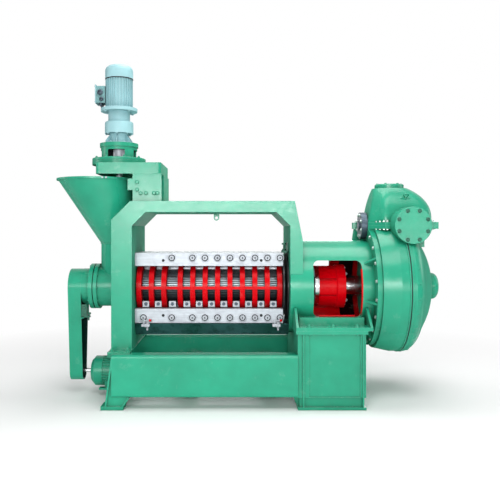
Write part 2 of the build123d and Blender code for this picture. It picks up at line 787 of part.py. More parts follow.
def tooth_outline(flank, teeth, first_angle):
    """Closed outline of a gear from the (radius, half angle) points of one flank."""
    points = []
    for tooth in range(teeth):
        middle = first_angle + tooth * 2 * pi / teeth
        for radius, half in flank:
            points.append((radius * cos(middle - half), radius * sin(middle - half)))
        for radius, half in reversed(flank):
            points.append((radius * cos(middle + half), radius * sin(middle + half)))
    return points


def spur_flank(teeth, steps=4):
    pitch_radius = gear_module * teeth / 2
    root = pitch_radius - 1.25 * gear_module
    tip = pitch_radius + gear_module
    first = max(root, pitch_radius * cos(pressure_angle))
    radii = [root] + [first + (tip - first) * i / (steps - 1) for i in range(steps)]
    return [(r, half_tooth(max(r, first), pitch_radius, teeth, gear_backlash)) for r in radii]


def bevel_flank(teeth, mate_teeth, steps=4):
    """Flank of a bevel tooth in the plane across its axis at the pitch circle."""
    pitch_radius = bevel_module * teeth / 2
    cone = atan2(teeth, mate_teeth)
    virtual_radius = pitch_radius / cos(cone)
    virtual_teeth = teeth / cos(cone)
    plane_distance = pitch_radius / tan(cone)
    low = -1.2 * bevel_module
    heights = [low + (bevel_module - low) * i / (steps - 1) for i in range(steps)]
    flank = []
    for height in heights:
        virtual = virtual_radius + height
        half = half_tooth(virtual, virtual_radius, virtual_teeth, bevel_backlash)
        radius = pitch_radius + height * cos(cone)
        distance = plane_distance - height * sin(cone)
        flank.append((radius * plane_distance / distance, half * virtual / radius))
    return flank


bull_radius = gear_module * bull_teeth / 2
with BuildPart() as bull_gear:
    with BuildSketch(x_plane(bull_left)):
        Polygon(*tooth_outline(spur_flank(bull_teeth), bull_teeth, pi / 2), align=None)
        Circle(output_shaft_radius, mode=Mode.SUBTRACT)
    extrude(amount=bull_face)
    for face_x, way in ((bull_left, 1), (bull_left + bull_face, -1)):
        with BuildSketch(x_plane(face_x)):
            Circle(bull_radius - 5 * gear_module)
            Circle(output_shaft_radius + 4 * gear_module, mode=Mode.SUBTRACT)
        extrude(amount=way * bull_face / 3, mode=Mode.SUBTRACT)
save(bull_gear.part, "bull_gear")

bevel_gear_radius = bevel_module * bevel_gear_teeth / 2
bevel_pinion_radius = bevel_module * bevel_pinion_teeth / 2
bevel_gear_x = input_x - bevel_pinion_radius
bevel_pinion_y = bevel_gear_radius

# Layshaft with its pinion cut on it, driving the bull gear
layshaft_left = case_left - layshaft_cover_depth + 16
layshaft_right = bevel_gear_x + 6
with BuildPart() as layshaft:
    with BuildSketch(x_plane(layshaft_left, 0, split_height)):
        Circle(layshaft_radius)
    extrude(amount=layshaft_right - layshaft_left)
    with BuildSketch(x_plane(bull_left - gear_module, 0, split_height)):
        Polygon(*tooth_outline(spur_flank(pinion_teeth), pinion_teeth,
                               -pi / 2 + pi / pinion_teeth), align=None)
    extrude(amount=bull_face + 2 * gear_module)
save(layshaft.part, "layshaft")


def bevel_teeth(plane, inner_plane, flank, teeth, first_angle):
    """Toothed ring that tapers towards the point where the two shafts meet."""
    outline = tooth_outline(flank, teeth, first_angle)
    small = [(u * bevel_face_share, v * bevel_face_share) for u, v in outline]
    with BuildPart() as ring:
        with BuildSketch(plane):
            Polygon(*outline, align=None)
        with BuildSketch(inner_plane):
            Polygon(*small, align=None)
        loft(ruled=True)
    return ring.part


bevel_gear_inner_x = input_x - bevel_pinion_radius * bevel_face_share
with BuildPart() as bevel_gear:
    add(bevel_teeth(x_plane(bevel_gear_x, 0, split_height),
                    x_plane(bevel_gear_inner_x, 0, split_height),
                    bevel_flank(bevel_gear_teeth, bevel_pinion_teeth), bevel_gear_teeth, 0))
    with BuildSketch(x_plane(bevel_gear_x, 0, split_height)):
        Circle(bevel_gear_radius * 0.8)
    extrude(amount=-20)
    with BuildSketch(x_plane(bevel_gear_x - 20, 0, split_height)):
        Circle(layshaft_radius)
    extrude(amount=layshaft_right - bevel_gear_x + 20, mode=Mode.SUBTRACT)
save(bevel_gear.part, "bevel_gear")

# Input shaft with its bevel pinion: front end in the boss, back end free for a pulley
with BuildPart() as input_shaft:
    with BuildSketch(y_plane(input_tail_start, input_x, split_height)):
        Circle(input_shaft_radius)
    extrude(amount=input_tail_start - input_front_seat)
    with BuildSketch(y_plane(input_shaft_end, input_x, split_height)):
        Circle(input_tail_radius)
    extrude(amount=input_shaft_end - input_tail_start)
    pinion_plane = Plane(origin=(input_x, bevel_pinion_y, split_height), x_dir=(1, 0, 0), z_dir=(0, 1, 0))
    pinion_inner = Plane(origin=(input_x, bevel_pinion_y * bevel_face_share, split_height),
                         x_dir=(1, 0, 0), z_dir=(0, 1, 0))
    add(bevel_teeth(pinion_plane, pinion_inner, bevel_flank(bevel_pinion_teeth, bevel_gear_teeth),
                    bevel_pinion_teeth, pi + pi / bevel_pinion_teeth))
    chamfer(input_shaft.faces().sort_by(Axis.Y)[-1].edges(), 3)
save(input_shaft.part, "input_shaft")

# Press shaft line: press shaft, worms, coupling and output shaft turn together
coupling_left = 610.0
coupling_ring = 33.0
coupling_slots = 8
coupling_flange_left = 770.0
coupling_flange_right = 781.0
coupling_right = 843.0
coupling_hub_radius = 157.0
coupling_flange_radius = 168.0
press_shaft_left = cage_left - 60
press_shaft_right = (coupling_flange_left + coupling_flange_right) / 2
thrust_shoulder_left = cage_right + cage_end_ring_thickness + discharge_gap
with BuildPart() as press_shaft:
    with BuildSketch(x_plane(cage_left)):
        Circle(press_shaft_radius)
    extrude(amount=press_shaft_right - cage_left)
    with BuildSketch(x_plane(press_shaft_left)):
        Circle(press_shaft_radius * 0.6)
    extrude(amount=cage_left - press_shaft_left)
    with BuildSketch(x_plane(thrust_shoulder_left)):
        Circle(output_shaft_radius)
    extrude(amount=press_shaft_right - thrust_shoulder_left)
save(press_shaft.part, "press_shaft")

# Press worms: short flights on roots that grow towards the outlet, with plain collars between them
worm_tip_radius = cage_bore_radius - worm_clearance
worm_count = len(worm_pitches)
worm_step = worm_length + collar_length
with BuildPart() as press_worms:
    for i in range(worm_count):
        worm_x = worm_start + i * worm_step
        with BuildSketch(x_plane(worm_x)):
            Circle(worm_root_radii[i])
            Circle(press_shaft_radius, mode=Mode.SUBTRACT)
        extrude(amount=worm_length)
        flight_length = worm_length - 3 * worm_thickness
        add(helical_flight((worm_x + 1.5 * worm_thickness, 0, shaft_height), worm_root_radii[i],
                           worm_tip_radius, worm_thickness, worm_pitches[i], flight_length))
        collar_radius = worm_root_radii[i] - knife_reach / 2
        with BuildSketch(x_plane(worm_x + worm_length)):
            Circle(collar_radius)
            Circle(press_shaft_radius, mode=Mode.SUBTRACT)
        extrude(amount=collar_length)
    cone_left = worm_start + worm_count * worm_step
    with BuildSketch(Plane.XZ):
        with BuildLine():
            Polyline((cone_left, shaft_height + press_shaft_radius),
                     (cone_left, shaft_height + worm_root_radii[-1] - knife_reach / 2),
                     (cage_right, shaft_height + worm_tip_radius - 4),
                     (thrust_shoulder_left, shaft_height + output_shaft_radius),
                     (thrust_shoulder_left, shaft_height + press_shaft_radius),
                     (cone_left, shaft_height + press_shaft_radius))
        make_face()
    revolve(axis=Axis((0, 0, shaft_height), (1, 0, 0)))
save(press_worms.part, "press_worms")

# Shaft coupling: red hub with a toothed sleeve on the press shaft and a flange on the output shaft
with BuildPart() as shaft_coupling:
    with BuildSketch(Plane.XZ):
        with BuildLine():
            Polyline((coupling_left, shaft_height + output_shaft_radius),
                     (coupling_left, shaft_height + coupling_hub_radius),
                     (coupling_flange_left, shaft_height + coupling_hub_radius),
                     (coupling_flange_right, shaft_height + coupling_flange_radius),
                     (coupling_right, shaft_height + coupling_flange_radius),
                     (coupling_right, shaft_height + output_shaft_radius),
                     (coupling_left, shaft_height + output_shaft_radius))
        make_face()
    revolve(axis=Axis((0, 0, shaft_height), (1, 0, 0)))
    with BuildSketch(x_plane(coupling_left + coupling_ring)):
        with PolarLocations(coupling_hub_radius, coupling_slots, start_angle=180 / coupling_slots):
            Rectangle(20, 16)
    extrude(amount=coupling_flange_left - coupling_left - coupling_ring, mode=Mode.SUBTRACT)
save(shaft_coupling.part, "shaft_coupling")

# Output shaft: from the middle of the coupling through the bull gear to its tail bearing
output_shaft_right = end_cap_left + 20
output_step = bull_left + bull_face + 30
with BuildPart() as output_shaft:
    with BuildSketch(x_plane(press_shaft_right)):
        Circle(output_shaft_radius)
    extrude(amount=output_step - press_shaft_right)
    with BuildSketch(x_plane(output_step)):
        Circle(output_tail_radius)
    extrude(amount=output_shaft_right - output_step)
save(output_shaft.part, "output_shaft")

# Cage ribs: half rings on each side of the split, joined by a tie bar along the middle
lining_outer_radius = cage_bore_radius + lining_thickness
upper_split = clamp_upper_bottom
lower_split = clamp_lower_top


def cage_ribs(side):
    with BuildPart() as ribs:
        for rib_x in rib_places():
            with BuildSketch(x_plane(rib_x - rib_width / 2)):
                Circle(rib_radius)
                Circle(lining_outer_radius, mode=Mode.SUBTRACT)
                with Locations((-side * rib_radius, 0)):
                    Rectangle(2 * rib_radius + clamp_split_gap, 4 * rib_radius, mode=Mode.SUBTRACT)
            extrude(amount=rib_width)
        tie_length = rib_places()[-1] - first_rib_x
        with Locations((first_rib_x + tie_length / 2, side * (rib_radius - tie_bar_size / 2), shaft_height)):
            Box(tie_length, tie_bar_size, tie_bar_size)
    return ribs.part


# Clamp bars: machined bars over and under the ribs, bored for the cage bolts
def bolt_places(upper):
    """Bolt rows of a clamp bar: one bolt beside each rib, fewer near the first section."""
    ribs = rib_places()
    places = [(ribs[2] + ribs[3]) / 2] + ribs[4:]
    return places if upper else [ribs[0] + rib_width] + places


def clamp_bars(side):
    with BuildPart() as bars:
        for bottom, top, upper in ((clamp_upper_bottom, clamp_upper_top, True),
                                   (clamp_lower_bottom, clamp_lower_top, False)):
            near = clamp_split_gap / 2
            with Locations(((cage_left + cage_right) / 2, side * (near + clamp_front) / 2,
                            (bottom + top) / 2)):
                Box(cage_right - cage_left, clamp_front - near, top - bottom)
            bolt_z = (bottom + top) / 2 + cage_bolt_offset * (1 if upper else -1)
            for bolt_x in bolt_places(upper):
                with BuildSketch(y_plane(clamp_front, bolt_x, bolt_z)):
                    Circle(cage_bolt_radius)
                extrude(amount=2 * clamp_front, mode=Mode.SUBTRACT)
        with BuildSketch(x_plane(cage_left)):
            Circle(rib_radius)
        extrude(amount=cage_right - cage_left, mode=Mode.SUBTRACT)
    return bars.part


# Lining bars: straight square-sided bars with narrow oil slits, which make up the wall of the press bore
def lining_bars(side):
    per_side = lining_count // 2
    margin = (clamp_split_gap / 2 + seat_clearance) / cage_bore_radius
    bar_step = (pi - 2 * margin) / per_side
    bar_width = bar_step * cage_bore_radius - lining_gap
    bar_back = sqrt(lining_outer_radius ** 2 - (bar_width / 2) ** 2) - seat_clearance
    with BuildPart() as bars:
        with BuildSketch(x_plane(cage_left)):
            for i in range(per_side):
                middle = margin + (i + 0.5) * bar_step - side * pi / 2
                with Locations(Location((0, 0, 0), (0, 0, degrees(middle)))):
                    Polygon((cage_bore_radius, -bar_width / 2), (bar_back, -bar_width / 2),
                            (bar_back, bar_width / 2), (cage_bore_radius, bar_width / 2), align=None)
        extrude(amount=cage_right - cage_left)
    return bars.part


for side, word in ((-1, "front"), (1, "back")):
    save(cage_ribs(side), f"{word}_cage_ribs")
    save(clamp_bars(side), f"{word}_clamp_bars")
    save(lining_bars(side), f"{word}_lining_bars")

# Knife bars: flat bars in the split, with teeth that reach in over the collars between the worms
with BuildPart() as knife_bars:
    for way in (-1, 1):
        outer = clamp_upper_top if way > 0 else clamp_lower_bottom
        knife_root = shaft_height + way * (cage_bore_radius + 1)
        with Locations(((cage_left + cage_right) / 2, 0, (outer + knife_root) / 2)):
            Box(cage_right - cage_left, clamp_split_gap, abs(outer - knife_root))
        for i in range(worm_count - 1):
            knife_x = worm_start + i * worm_step + worm_length + collar_length / 2
            tip = shaft_height + way * (worm_root_radii[i] - knife_reach / 2 + 4)
            with Locations((knife_x, 0, (tip + knife_root) / 2)):
                Box(collar_length - 16, clamp_split_gap, abs(tip - knife_root))
    for bolt_x in bolt_places(False):
        for bolt_z in ((clamp_upper_bottom + clamp_upper_top) / 2 + cage_bolt_offset,
                       (clamp_lower_bottom + clamp_lower_top) / 2 - cage_bolt_offset):
            with BuildSketch(y_plane(clamp_split_gap, bolt_x, bolt_z)):
                Circle(cage_bolt_radius)
            extrude(amount=2 * clamp_split_gap, mode=Mode.SUBTRACT)
save(knife_bars.part, "knife_bars")

# Cage bolts: through both halves, with a round head in front and a nut behind
with BuildPart() as cage_bolts:
    for upper, bolt_z in ((True, (clamp_upper_bottom + clamp_upper_top) / 2 + cage_bolt_offset),
                          (False, (clamp_lower_bottom + clamp_lower_top) / 2 - cage_bolt_offset)):
        for bolt_x in bolt_places(upper):
            with BuildSketch(y_plane(clamp_front, bolt_x, bolt_z)):
                Circle(cage_bolt_radius)
            extrude(amount=2 * clamp_front)
            for face_y in (clamp_front + cage_bolt_head_height, -clamp_front):
                with BuildSketch(y_plane(face_y, bolt_x, bolt_z)):
                    RegularPolygon(cage_bolt_head_radius, 6)
                extrude(amount=cage_bolt_head_height)
save(cage_bolts.part, "cage_bolts")

# Cage end ring: holds the lining bars at the outlet end
with BuildPart() as cage_end_ring:
    with BuildSketch(x_plane(cage_right)):
        Circle(cage_end_ring_radius)
        Circle(cage_bore_radius, mode=Mode.SUBTRACT)
    extrude(amount=cage_end_ring_thickness)
save(cage_end_ring.part, "cage_end_ring")

# Wedge blocks: small bolted blocks between the ribs, low on the front side, that tighten the lining
wedge_block_height = 44.0
wedge_block_z = shaft_height - 128.0
with BuildPart() as wedge_blocks:
    ribs = rib_places()
    for left, right in zip(ribs, ribs[1:]):
        space = min(right - left, rib_pitch + 3) - rib_width - 8
        middle = (left + right) / 2
        with BuildSketch(x_plane(middle - space / 2)):
            with Locations((-98, wedge_block_z - shaft_height)):
                Rectangle(82, wedge_block_height)
            Circle(lining_outer_radius + seat_clearance, mode=Mode.SUBTRACT)
        extrude(amount=space)
save(wedge_blocks.part, "wedge_blocks")

# Feed housing: tube with a flange at its left end and a round neck up to the hopper
feed_right = column_right - portal_web
with BuildPart() as feed_housing:
    with BuildSketch(x_plane(feed_left)):
        Circle(feed_radius)
    extrude(amount=feed_right - feed_left)
    with BuildSketch(x_plane(feed_left - feed_flange_thickness)):
        Circle(feed_flange_radius)
    extrude(amount=feed_flange_thickness)
    with BuildSketch(Plane.XY.offset(shaft_height)):
        with Locations((feeder_x, 0)):
            Circle(neck_radius)
    extrude(amount=neck_top - shaft_height)
    with BuildSketch(x_plane(feed_left - feed_flange_thickness)):
        Circle(feed_bore_radius)
    extrude(amount=feed_right - feed_left + feed_flange_thickness, mode=Mode.SUBTRACT)
    with BuildSketch(Plane.XY.offset(shaft_height)):
        with Locations((feeder_x, 0)):
            Circle(neck_radius - neck_wall)
    extrude(amount=neck_top - shaft_height, mode=Mode.SUBTRACT)
save(feed_housing.part, "feed_housing")

# Hopper: slanted cone from the neck to a wide rim with a rolled lip
with BuildPart() as hopper:
    with BuildSketch(Plane.XY.offset(hopper_top - hopper_lip_height)):
        with Locations((hopper_rim_x, 0)):
            Circle(hopper_rim_radius + hopper_rim_lip)
    extrude(amount=hopper_lip_height)
    for inset, mode in ((0, Mode.ADD), (hopper_wall, Mode.SUBTRACT)):
        with BuildSketch(Plane.XY.offset(neck_top)):
            with Locations((feeder_x, 0)):
                Circle(neck_radius - inset)
        with BuildSketch(Plane.XY.offset(hopper_top)):
            with Locations((hopper_rim_x, 0)):
                Circle(hopper_rim_radius - inset)
        loft(mode=mode)
save(hopper.part, "hopper")

# Bearing housing of the feed worm: flange, spacer and hub that also carries the belt guard
bearing_flange_right = feed_left - feed_flange_thickness - feed_flange_gap
quill_bearing_radius = 80.0
with BuildPart() as feed_bearing_housing:
    with BuildSketch(x_plane(bearing_flange_right - bearing_flange_thickness)):
        Circle(feed_flange_radius)
    extrude(amount=bearing_flange_thickness)
    with BuildSketch(x_plane(bearing_flange_right)):
        Circle(feed_radius)
    extrude(amount=feed_flange_gap)
    with BuildSketch(x_plane(bearing_hub_left)):
        Circle(bearing_hub_radius)
    extrude(amount=bearing_flange_right - bearing_flange_thickness - bearing_hub_left)
    with BuildSketch(x_plane(bearing_hub_left)):
        Circle(quill_bearing_radius)
    extrude(amount=feed_left - bearing_hub_left, mode=Mode.SUBTRACT)
    with BuildSketch(y_plane(10, bearing_hub_left + 20, shaft_height - bearing_hub_radius - 20)):
        Rectangle(24, 130)
    extrude(amount=20)
save(feed_bearing_housing.part, "feed_bearing_housing")

# Feed worm: shaft, two and a half turns of flight and a socket for the end of the press shaft
feed_worm_left = feed_left - feed_flange_thickness + 4
feed_worm_right = feed_right - 4
feed_tip_radius = feed_bore_radius - worm_clearance
with BuildPart() as feed_worm:
    with BuildSketch(x_plane(guard_left + 2 * guard_wall)):
        Circle(feed_shaft_radius)
    extrude(amount=feed_worm_left - guard_left - 2 * guard_wall)
    with BuildSketch(x_plane(feed_worm_left)):
        Circle(worm_root_radii[0])
    extrude(amount=feed_worm_right - feed_worm_left)
    add(helical_flight((feed_worm_left + worm_thickness, 0, shaft_height), worm_root_radii[0],
                       feed_tip_radius, worm_thickness, feed_worm_pitch,
                       feed_worm_right - feed_worm_left - 2 * worm_thickness))
    with BuildSketch(x_plane(press_shaft_left - 4)):
        Circle(press_shaft_radius * 0.6 + running_clearance)
    extrude(amount=feed_worm_right - press_shaft_left + 4, mode=Mode.SUBTRACT)
save(feed_worm.part, "feed_worm")

# Belt guard: pear-shaped shell round both pulleys, open towards the machine
with BuildPart() as belt_guard:
    with BuildSketch(x_plane(guard_left, 0, 0)):
        with Locations((0, shaft_height)):
            Circle(guard_top_radius)
        with Locations((0, motor_axis_height)):
            Circle(guard_bottom_radius)
        make_hull()
    extrude(amount=guard_depth)
    with BuildSketch(x_plane(guard_left + guard_wall, 0, 0)):
        with Locations((0, shaft_height)):
            Circle(guard_top_radius - guard_wall)
        with Locations((0, motor_axis_height)):
            Circle(guard_bottom_radius - guard_wall)
        make_hull()
    extrude(amount=guard_depth, mode=Mode.SUBTRACT)
save(belt_guard.part, "belt_guard")

# Guard bracket: angle that ties the guard's open edge to the bearing hub
with BuildPart() as guard_bracket:
    with Locations((bearing_hub_left + 10, 0, shaft_height - bearing_hub_radius - 95)):
        Box(20, 2 * guard_top_radius - 3 * guard_wall, 16)
save(guard_bracket.part, "guard_bracket")


# Pulleys with two V grooves
def pulley(radius, axis_z, bore, name):
    left = guard_left + guard_wall + 16
    with BuildPart() as wheel:
        with BuildSketch(x_plane(left, 0, axis_z)):
            Circle(radius)
            Circle(bore, mode=Mode.SUBTRACT)
        extrude(amount=pulley_width)
        for groove in (0.3, 0.7):
            with BuildSketch(Plane.XZ):
                with BuildLine():
                    middle = left + groove * pulley_width
                    Polyline((middle - 8, axis_z + radius), (middle + 8, axis_z + radius),
                             (middle + 4, axis_z + radius - pulley_clearance),
                             (middle - 4, axis_z + radius - pulley_clearance),
                             (middle - 8, axis_z + radius))
                make_face()
            revolve(axis=Axis((0, 0, axis_z), (1, 0, 0)), mode=Mode.SUBTRACT)
    save(wheel.part, name)


pulley(feed_pulley_radius, shaft_height, feed_shaft_radius, "feed_pulley")
pulley(motor_pulley_radius, motor_axis_height, motor_shaft_radius, "motor_pulley")

# Drive belts: two flat-sided loops that sit in the grooves with a small running gap
with BuildPart() as drive_belts:
    for groove in (0.3, 0.7):
        belt_x = guard_left + guard_wall + 16 + groove * pulley_width - 3
        with BuildSketch(x_plane(belt_x, 0, 0)):
            with Locations((0, shaft_height)):
                Circle(feed_pulley_radius)
            with Locations((0, motor_axis_height)):
                Circle(motor_pulley_radius)
            make_hull()
        extrude(amount=6)
        with BuildSketch(x_plane(belt_x, 0, 0)):
            with Locations((0, shaft_height)):
                Circle(feed_pulley_radius - pulley_clearance + seat_clearance)
            with Locations((0, motor_axis_height)):
                Circle(motor_pulley_radius - pulley_clearance + seat_clearance)
            make_hull()
        extrude(amount=6, mode=Mode.SUBTRACT)
save(drive_belts.part, "drive_belts")


# Small foot motor under the feed end
def finned_body(plane, length, core, fin_height, fin_count, bore=0):
    with BuildPart() as body:
        with BuildSketch(plane):
            Circle(core)
            with PolarLocations(core + fin_height / 2 - 1, fin_count):
                Rectangle(fin_height + 2, 4)
            if bore:
                Circle(bore, mode=Mode.SUBTRACT)
        extrude(amount=length)
    return body.part


motor_rail_top = foot_plate_height + motor_rail_height
motor_shaft_right = motor_left + motor_bell + 40
with BuildPart() as feed_motor:
    add(finned_body(x_plane(motor_left + motor_bell, 0, motor_axis_height), motor_length - 2 * motor_bell,
                    motor_radius - motor_fin_height, motor_fin_height, motor_fin_count))
    for foot_side in (-1, 1):
        with Locations((motor_left + motor_length / 2, foot_side * 90,
                        motor_rail_top + motor_foot_height / 2)):
            Box(motor_length - 2 * motor_bell + 40, 50, motor_foot_height)
        with Locations((motor_left + motor_length / 2, foot_side * 80, motor_rail_top + 34)):
            Box(motor_length - 2 * motor_bell - 40, 16, 68)
    with Locations((motor_left + motor_length / 2 - 60, 0, motor_axis_height + motor_radius + 12)):
        Box(110, 100, 44)
    with BuildSketch(x_plane(motor_left, 0, motor_axis_height)):
        Circle(motor_shaft_radius + 2)
    extrude(amount=motor_bell + 60, mode=Mode.SUBTRACT)
save(feed_motor.part, "feed_motor")

with BuildPart() as feed_motor_end_bells:
    with BuildSketch(x_plane(motor_left, 0, motor_axis_height)):
        Circle(motor_radius * 0.72)
    with BuildSketch(x_plane(motor_left + motor_bell_cone, 0, motor_axis_height)):
        Circle(motor_radius)
    loft()
    with BuildSketch(x_plane(motor_left + motor_bell_cone, 0, motor_axis_height)):
        Circle(motor_radius)
    extrude(amount=motor_bell - motor_bell_cone)
    with BuildSketch(x_plane(motor_left, 0, motor_axis_height)):
        Circle(motor_shaft_radius + running_clearance)
    extrude(amount=motor_bell, mode=Mode.SUBTRACT)
    with BuildSketch(x_plane(motor_left + motor_length - motor_bell, 0, motor_axis_height)):
        Circle(motor_radius)
    extrude(amount=motor_bell)
    fillet(feed_motor_end_bells.faces().sort_by(Axis.X)[-1].edges(), 30)
save(feed_motor_end_bells.part, "feed_motor_end_bells")

with BuildPart() as motor_shaft:
    with BuildSketch(x_plane(guard_left + 2 * guard_wall, 0, motor_axis_height)):
        Circle(motor_shaft_radius)
    extrude(amount=motor_shaft_right - guard_left - 2 * guard_wall)
save(motor_shaft.part, "motor_shaft")

# Motor rails: two bars across the feet that carry the motor
with BuildPart() as motor_rails:
    for rail_x in (foot_left + 40, foot_right - 25):
        with Locations((rail_x, 0, foot_plate_height + motor_rail_height / 2)):
            Box(50, 2 * beam_inner, motor_rail_height)
save(motor_rails.part, "motor_rails")

# Feeder support: box on the portal, with an open slot at the front of its right side
with BuildPart() as feeder_support:
    support_height = feeder_plate_bottom - portal_top
    for support_y in (-support_half_depth, support_half_depth - support_wall):
        with Locations(((support_left + support_right) / 2, support_y + support_wall / 2,
                        portal_top + support_height / 2)):
            Box(support_right - support_left, support_wall, support_height)
        with Locations((support_left - support_tab / 2, support_y + support_wall / 2,
                        feeder_plate_bottom - support_tab_top - support_tab_height / 2)):
            Box(support_tab, support_wall, support_tab_height)
    with Locations((support_left + support_wall / 2, 0, portal_top + support_height / 2)):
        Box(support_wall, 2 * (support_half_depth - support_wall), support_height)
    with Locations((support_right - support_wall / 2, support_half_depth * 0.3,
                    portal_top + support_height / 2)):
        Box(support_wall, 2 * support_half_depth * 0.7 - support_wall, support_height)
save(feeder_support.part, "feeder_support")

# Motor plate: edged plate that reaches out over the hopper
with BuildPart() as feeder_motor_plate:
    with BuildSketch(Plane.XY.offset(feeder_plate_bottom)):
        with Locations(((feeder_plate_left + feeder_plate_right) / 2, 0)):
            RectangleRounded(feeder_plate_right - feeder_plate_left, 2 * support_half_depth, 20)
    extrude(amount=feeder_plate_height)
    with BuildSketch(Plane.XY.offset(feeder_plate_bottom)):
        with Locations(((feeder_plate_left + support_left) / 2 - 10, 0)):
            Rectangle(support_left - feeder_plate_left - 20 - 2 * feeder_plate_wall,
                      2 * (support_half_depth - feeder_plate_wall))
    extrude(amount=feeder_plate_height - 2 * feeder_plate_wall, mode=Mode.SUBTRACT)
    with BuildSketch(Plane.XY.offset(feeder_plate_bottom)):
        with Locations((feeder_x, 0)):
            Circle(auger_shaft_radius + running_clearance)
    extrude(amount=feeder_plate_height, mode=Mode.SUBTRACT)
save(feeder_motor_plate.part, "feeder_motor_plate")

# Lantern: round stool with windows round the feeder coupling
plate_top = feeder_plate_bottom + feeder_plate_height
lantern_floor = plate_top + lantern_base_thickness
lantern_ceiling = lantern_floor + lantern_height
lantern_top = lantern_ceiling + lantern_top_thickness
with BuildPart() as feeder_lantern:
    for floor, height, radius in ((plate_top, lantern_base_thickness, lantern_base_radius),
                                  (lantern_floor, lantern_height, lantern_radius),
                                  (lantern_ceiling, lantern_top_thickness, lantern_top_radius)):
        with BuildSketch(Plane.XY.offset(floor)):
            with Locations((feeder_x, 0)):
                Circle(radius)
        extrude(amount=height)
    with BuildSketch(Plane.XY.offset(plate_top)):
        with Locations((feeder_x, 0)):
            Circle(lantern_radius - lantern_wall)
    extrude(amount=lantern_top - plate_top, mode=Mode.SUBTRACT)
    for window_axes in ((1, 0, 0), (0, 1, 0)):
        window_plane = Plane(origin=(feeder_x, 0, lantern_floor + lantern_height / 2),
                             x_dir=window_axes, z_dir=(-window_axes[1], window_axes[0], 0))
        with BuildSketch(window_plane):
            Rectangle(lantern_window_width, lantern_window_height)
        extrude(amount=lantern_top_radius, both=True, mode=Mode.SUBTRACT)
save(feeder_lantern.part, "feeder_lantern")

# Reducer: bell with ribs, bolted body and neck under the motor flange
bell_top = lantern_top + reducer_bell_height
body_top = bell_top + reducer_body_height
neck_end = body_top + reducer_neck_height
reducer_rib_count = 6
with BuildPart() as feeder_reducer:
    with BuildSketch(Plane.XY.offset(lantern_top)):
        with Locations((feeder_x, 0)):
            Circle(reducer_body_radius)
    extrude(amount=10)
    with BuildSketch(Plane.XY.offset(lantern_top + 10)):
        with Locations((feeder_x, 0)):
            Circle(reducer_bell_radius)
    extrude(amount=reducer_bell_height - 10)
    for i in range(reducer_rib_count):
        rib_turn = (i + 0.5) * 360 / reducer_rib_count
        rib_plane = Plane(origin=(feeder_x, 0, lantern_top), x_dir=Vector(1, 0, 0).rotate(Axis.Z, rib_turn),
                          z_dir=Vector(0, -1, 0).rotate(Axis.Z, rib_turn))
        with BuildSketch(rib_plane):
            Polygon((reducer_bell_radius - 5, 0), (reducer_body_radius, 0),
                    (reducer_body_radius, reducer_bell_height * 0.3),
                    (reducer_bell_radius - 5, reducer_bell_height), align=None)
        extrude(amount=4, both=True)
    with BuildSketch(Plane.XY.offset(bell_top)):
        with Locations((feeder_x, 0)):
            Circle(reducer_body_radius)
    extrude(amount=reducer_body_height)
    fillet(feeder_reducer.faces().sort_by(Axis.Z)[-1].edges(), 16)
    with BuildSketch(Plane.XY.offset(body_top)):
        with Locations((feeder_x, 0)):
            Circle(reducer_neck_radius)
    extrude(amount=reducer_neck_height)
    with BuildSketch(Plane.XY.offset(neck_end)):
        with Locations((feeder_x, 0)):
            Circle(motor_flange_radius)
    extrude(amount=motor_flange_thickness)
    with BuildSketch(Plane.XY.offset(lantern_top)):
        with Locations((feeder_x, 0)):
            Circle(auger_shaft_radius + running_clearance)
    extrude(amount=reducer_bell_height, mode=Mode.SUBTRACT)
save(feeder_reducer.part, "feeder_reducer")

# Feeder motor with its fins, fan cowl and terminal box
motor_floor = neck_end + motor_flange_thickness
motor_ceiling = motor_floor + finned_motor_height
with BuildPart() as feeder_motor:
    add(finned_body(Plane(origin=(feeder_x, 0, motor_floor)), finned_motor_height,
                    finned_motor_radius - motor_fin_height, motor_fin_height, motor_fin_count))
save(feeder_motor.part, "feeder_motor")

with BuildPart() as feeder_fan_cowl:
    with BuildSketch(Plane.XY.offset(motor_ceiling)):
        with Locations((feeder_x, 0)):
            Circle(cowl_radius)
    extrude(amount=cowl_height)
    fillet(feeder_fan_cowl.faces().sort_by(Axis.Z)[-1].edges(), 45)
save(feeder_fan_cowl.part, "feeder_fan_cowl")

with BuildPart() as feeder_terminal_box:
    with Locations((feeder_x - finned_motor_radius - 30, 0, motor_floor + finned_motor_height * 0.45)):
        Box(70, 110, 130)
    with BuildSketch(Plane(origin=(feeder_x, 0, motor_floor))):
        Circle(finned_motor_radius + seat_clearance)
    extrude(amount=finned_motor_height, mode=Mode.SUBTRACT)
save(feeder_terminal_box.part, "feeder_terminal_box")

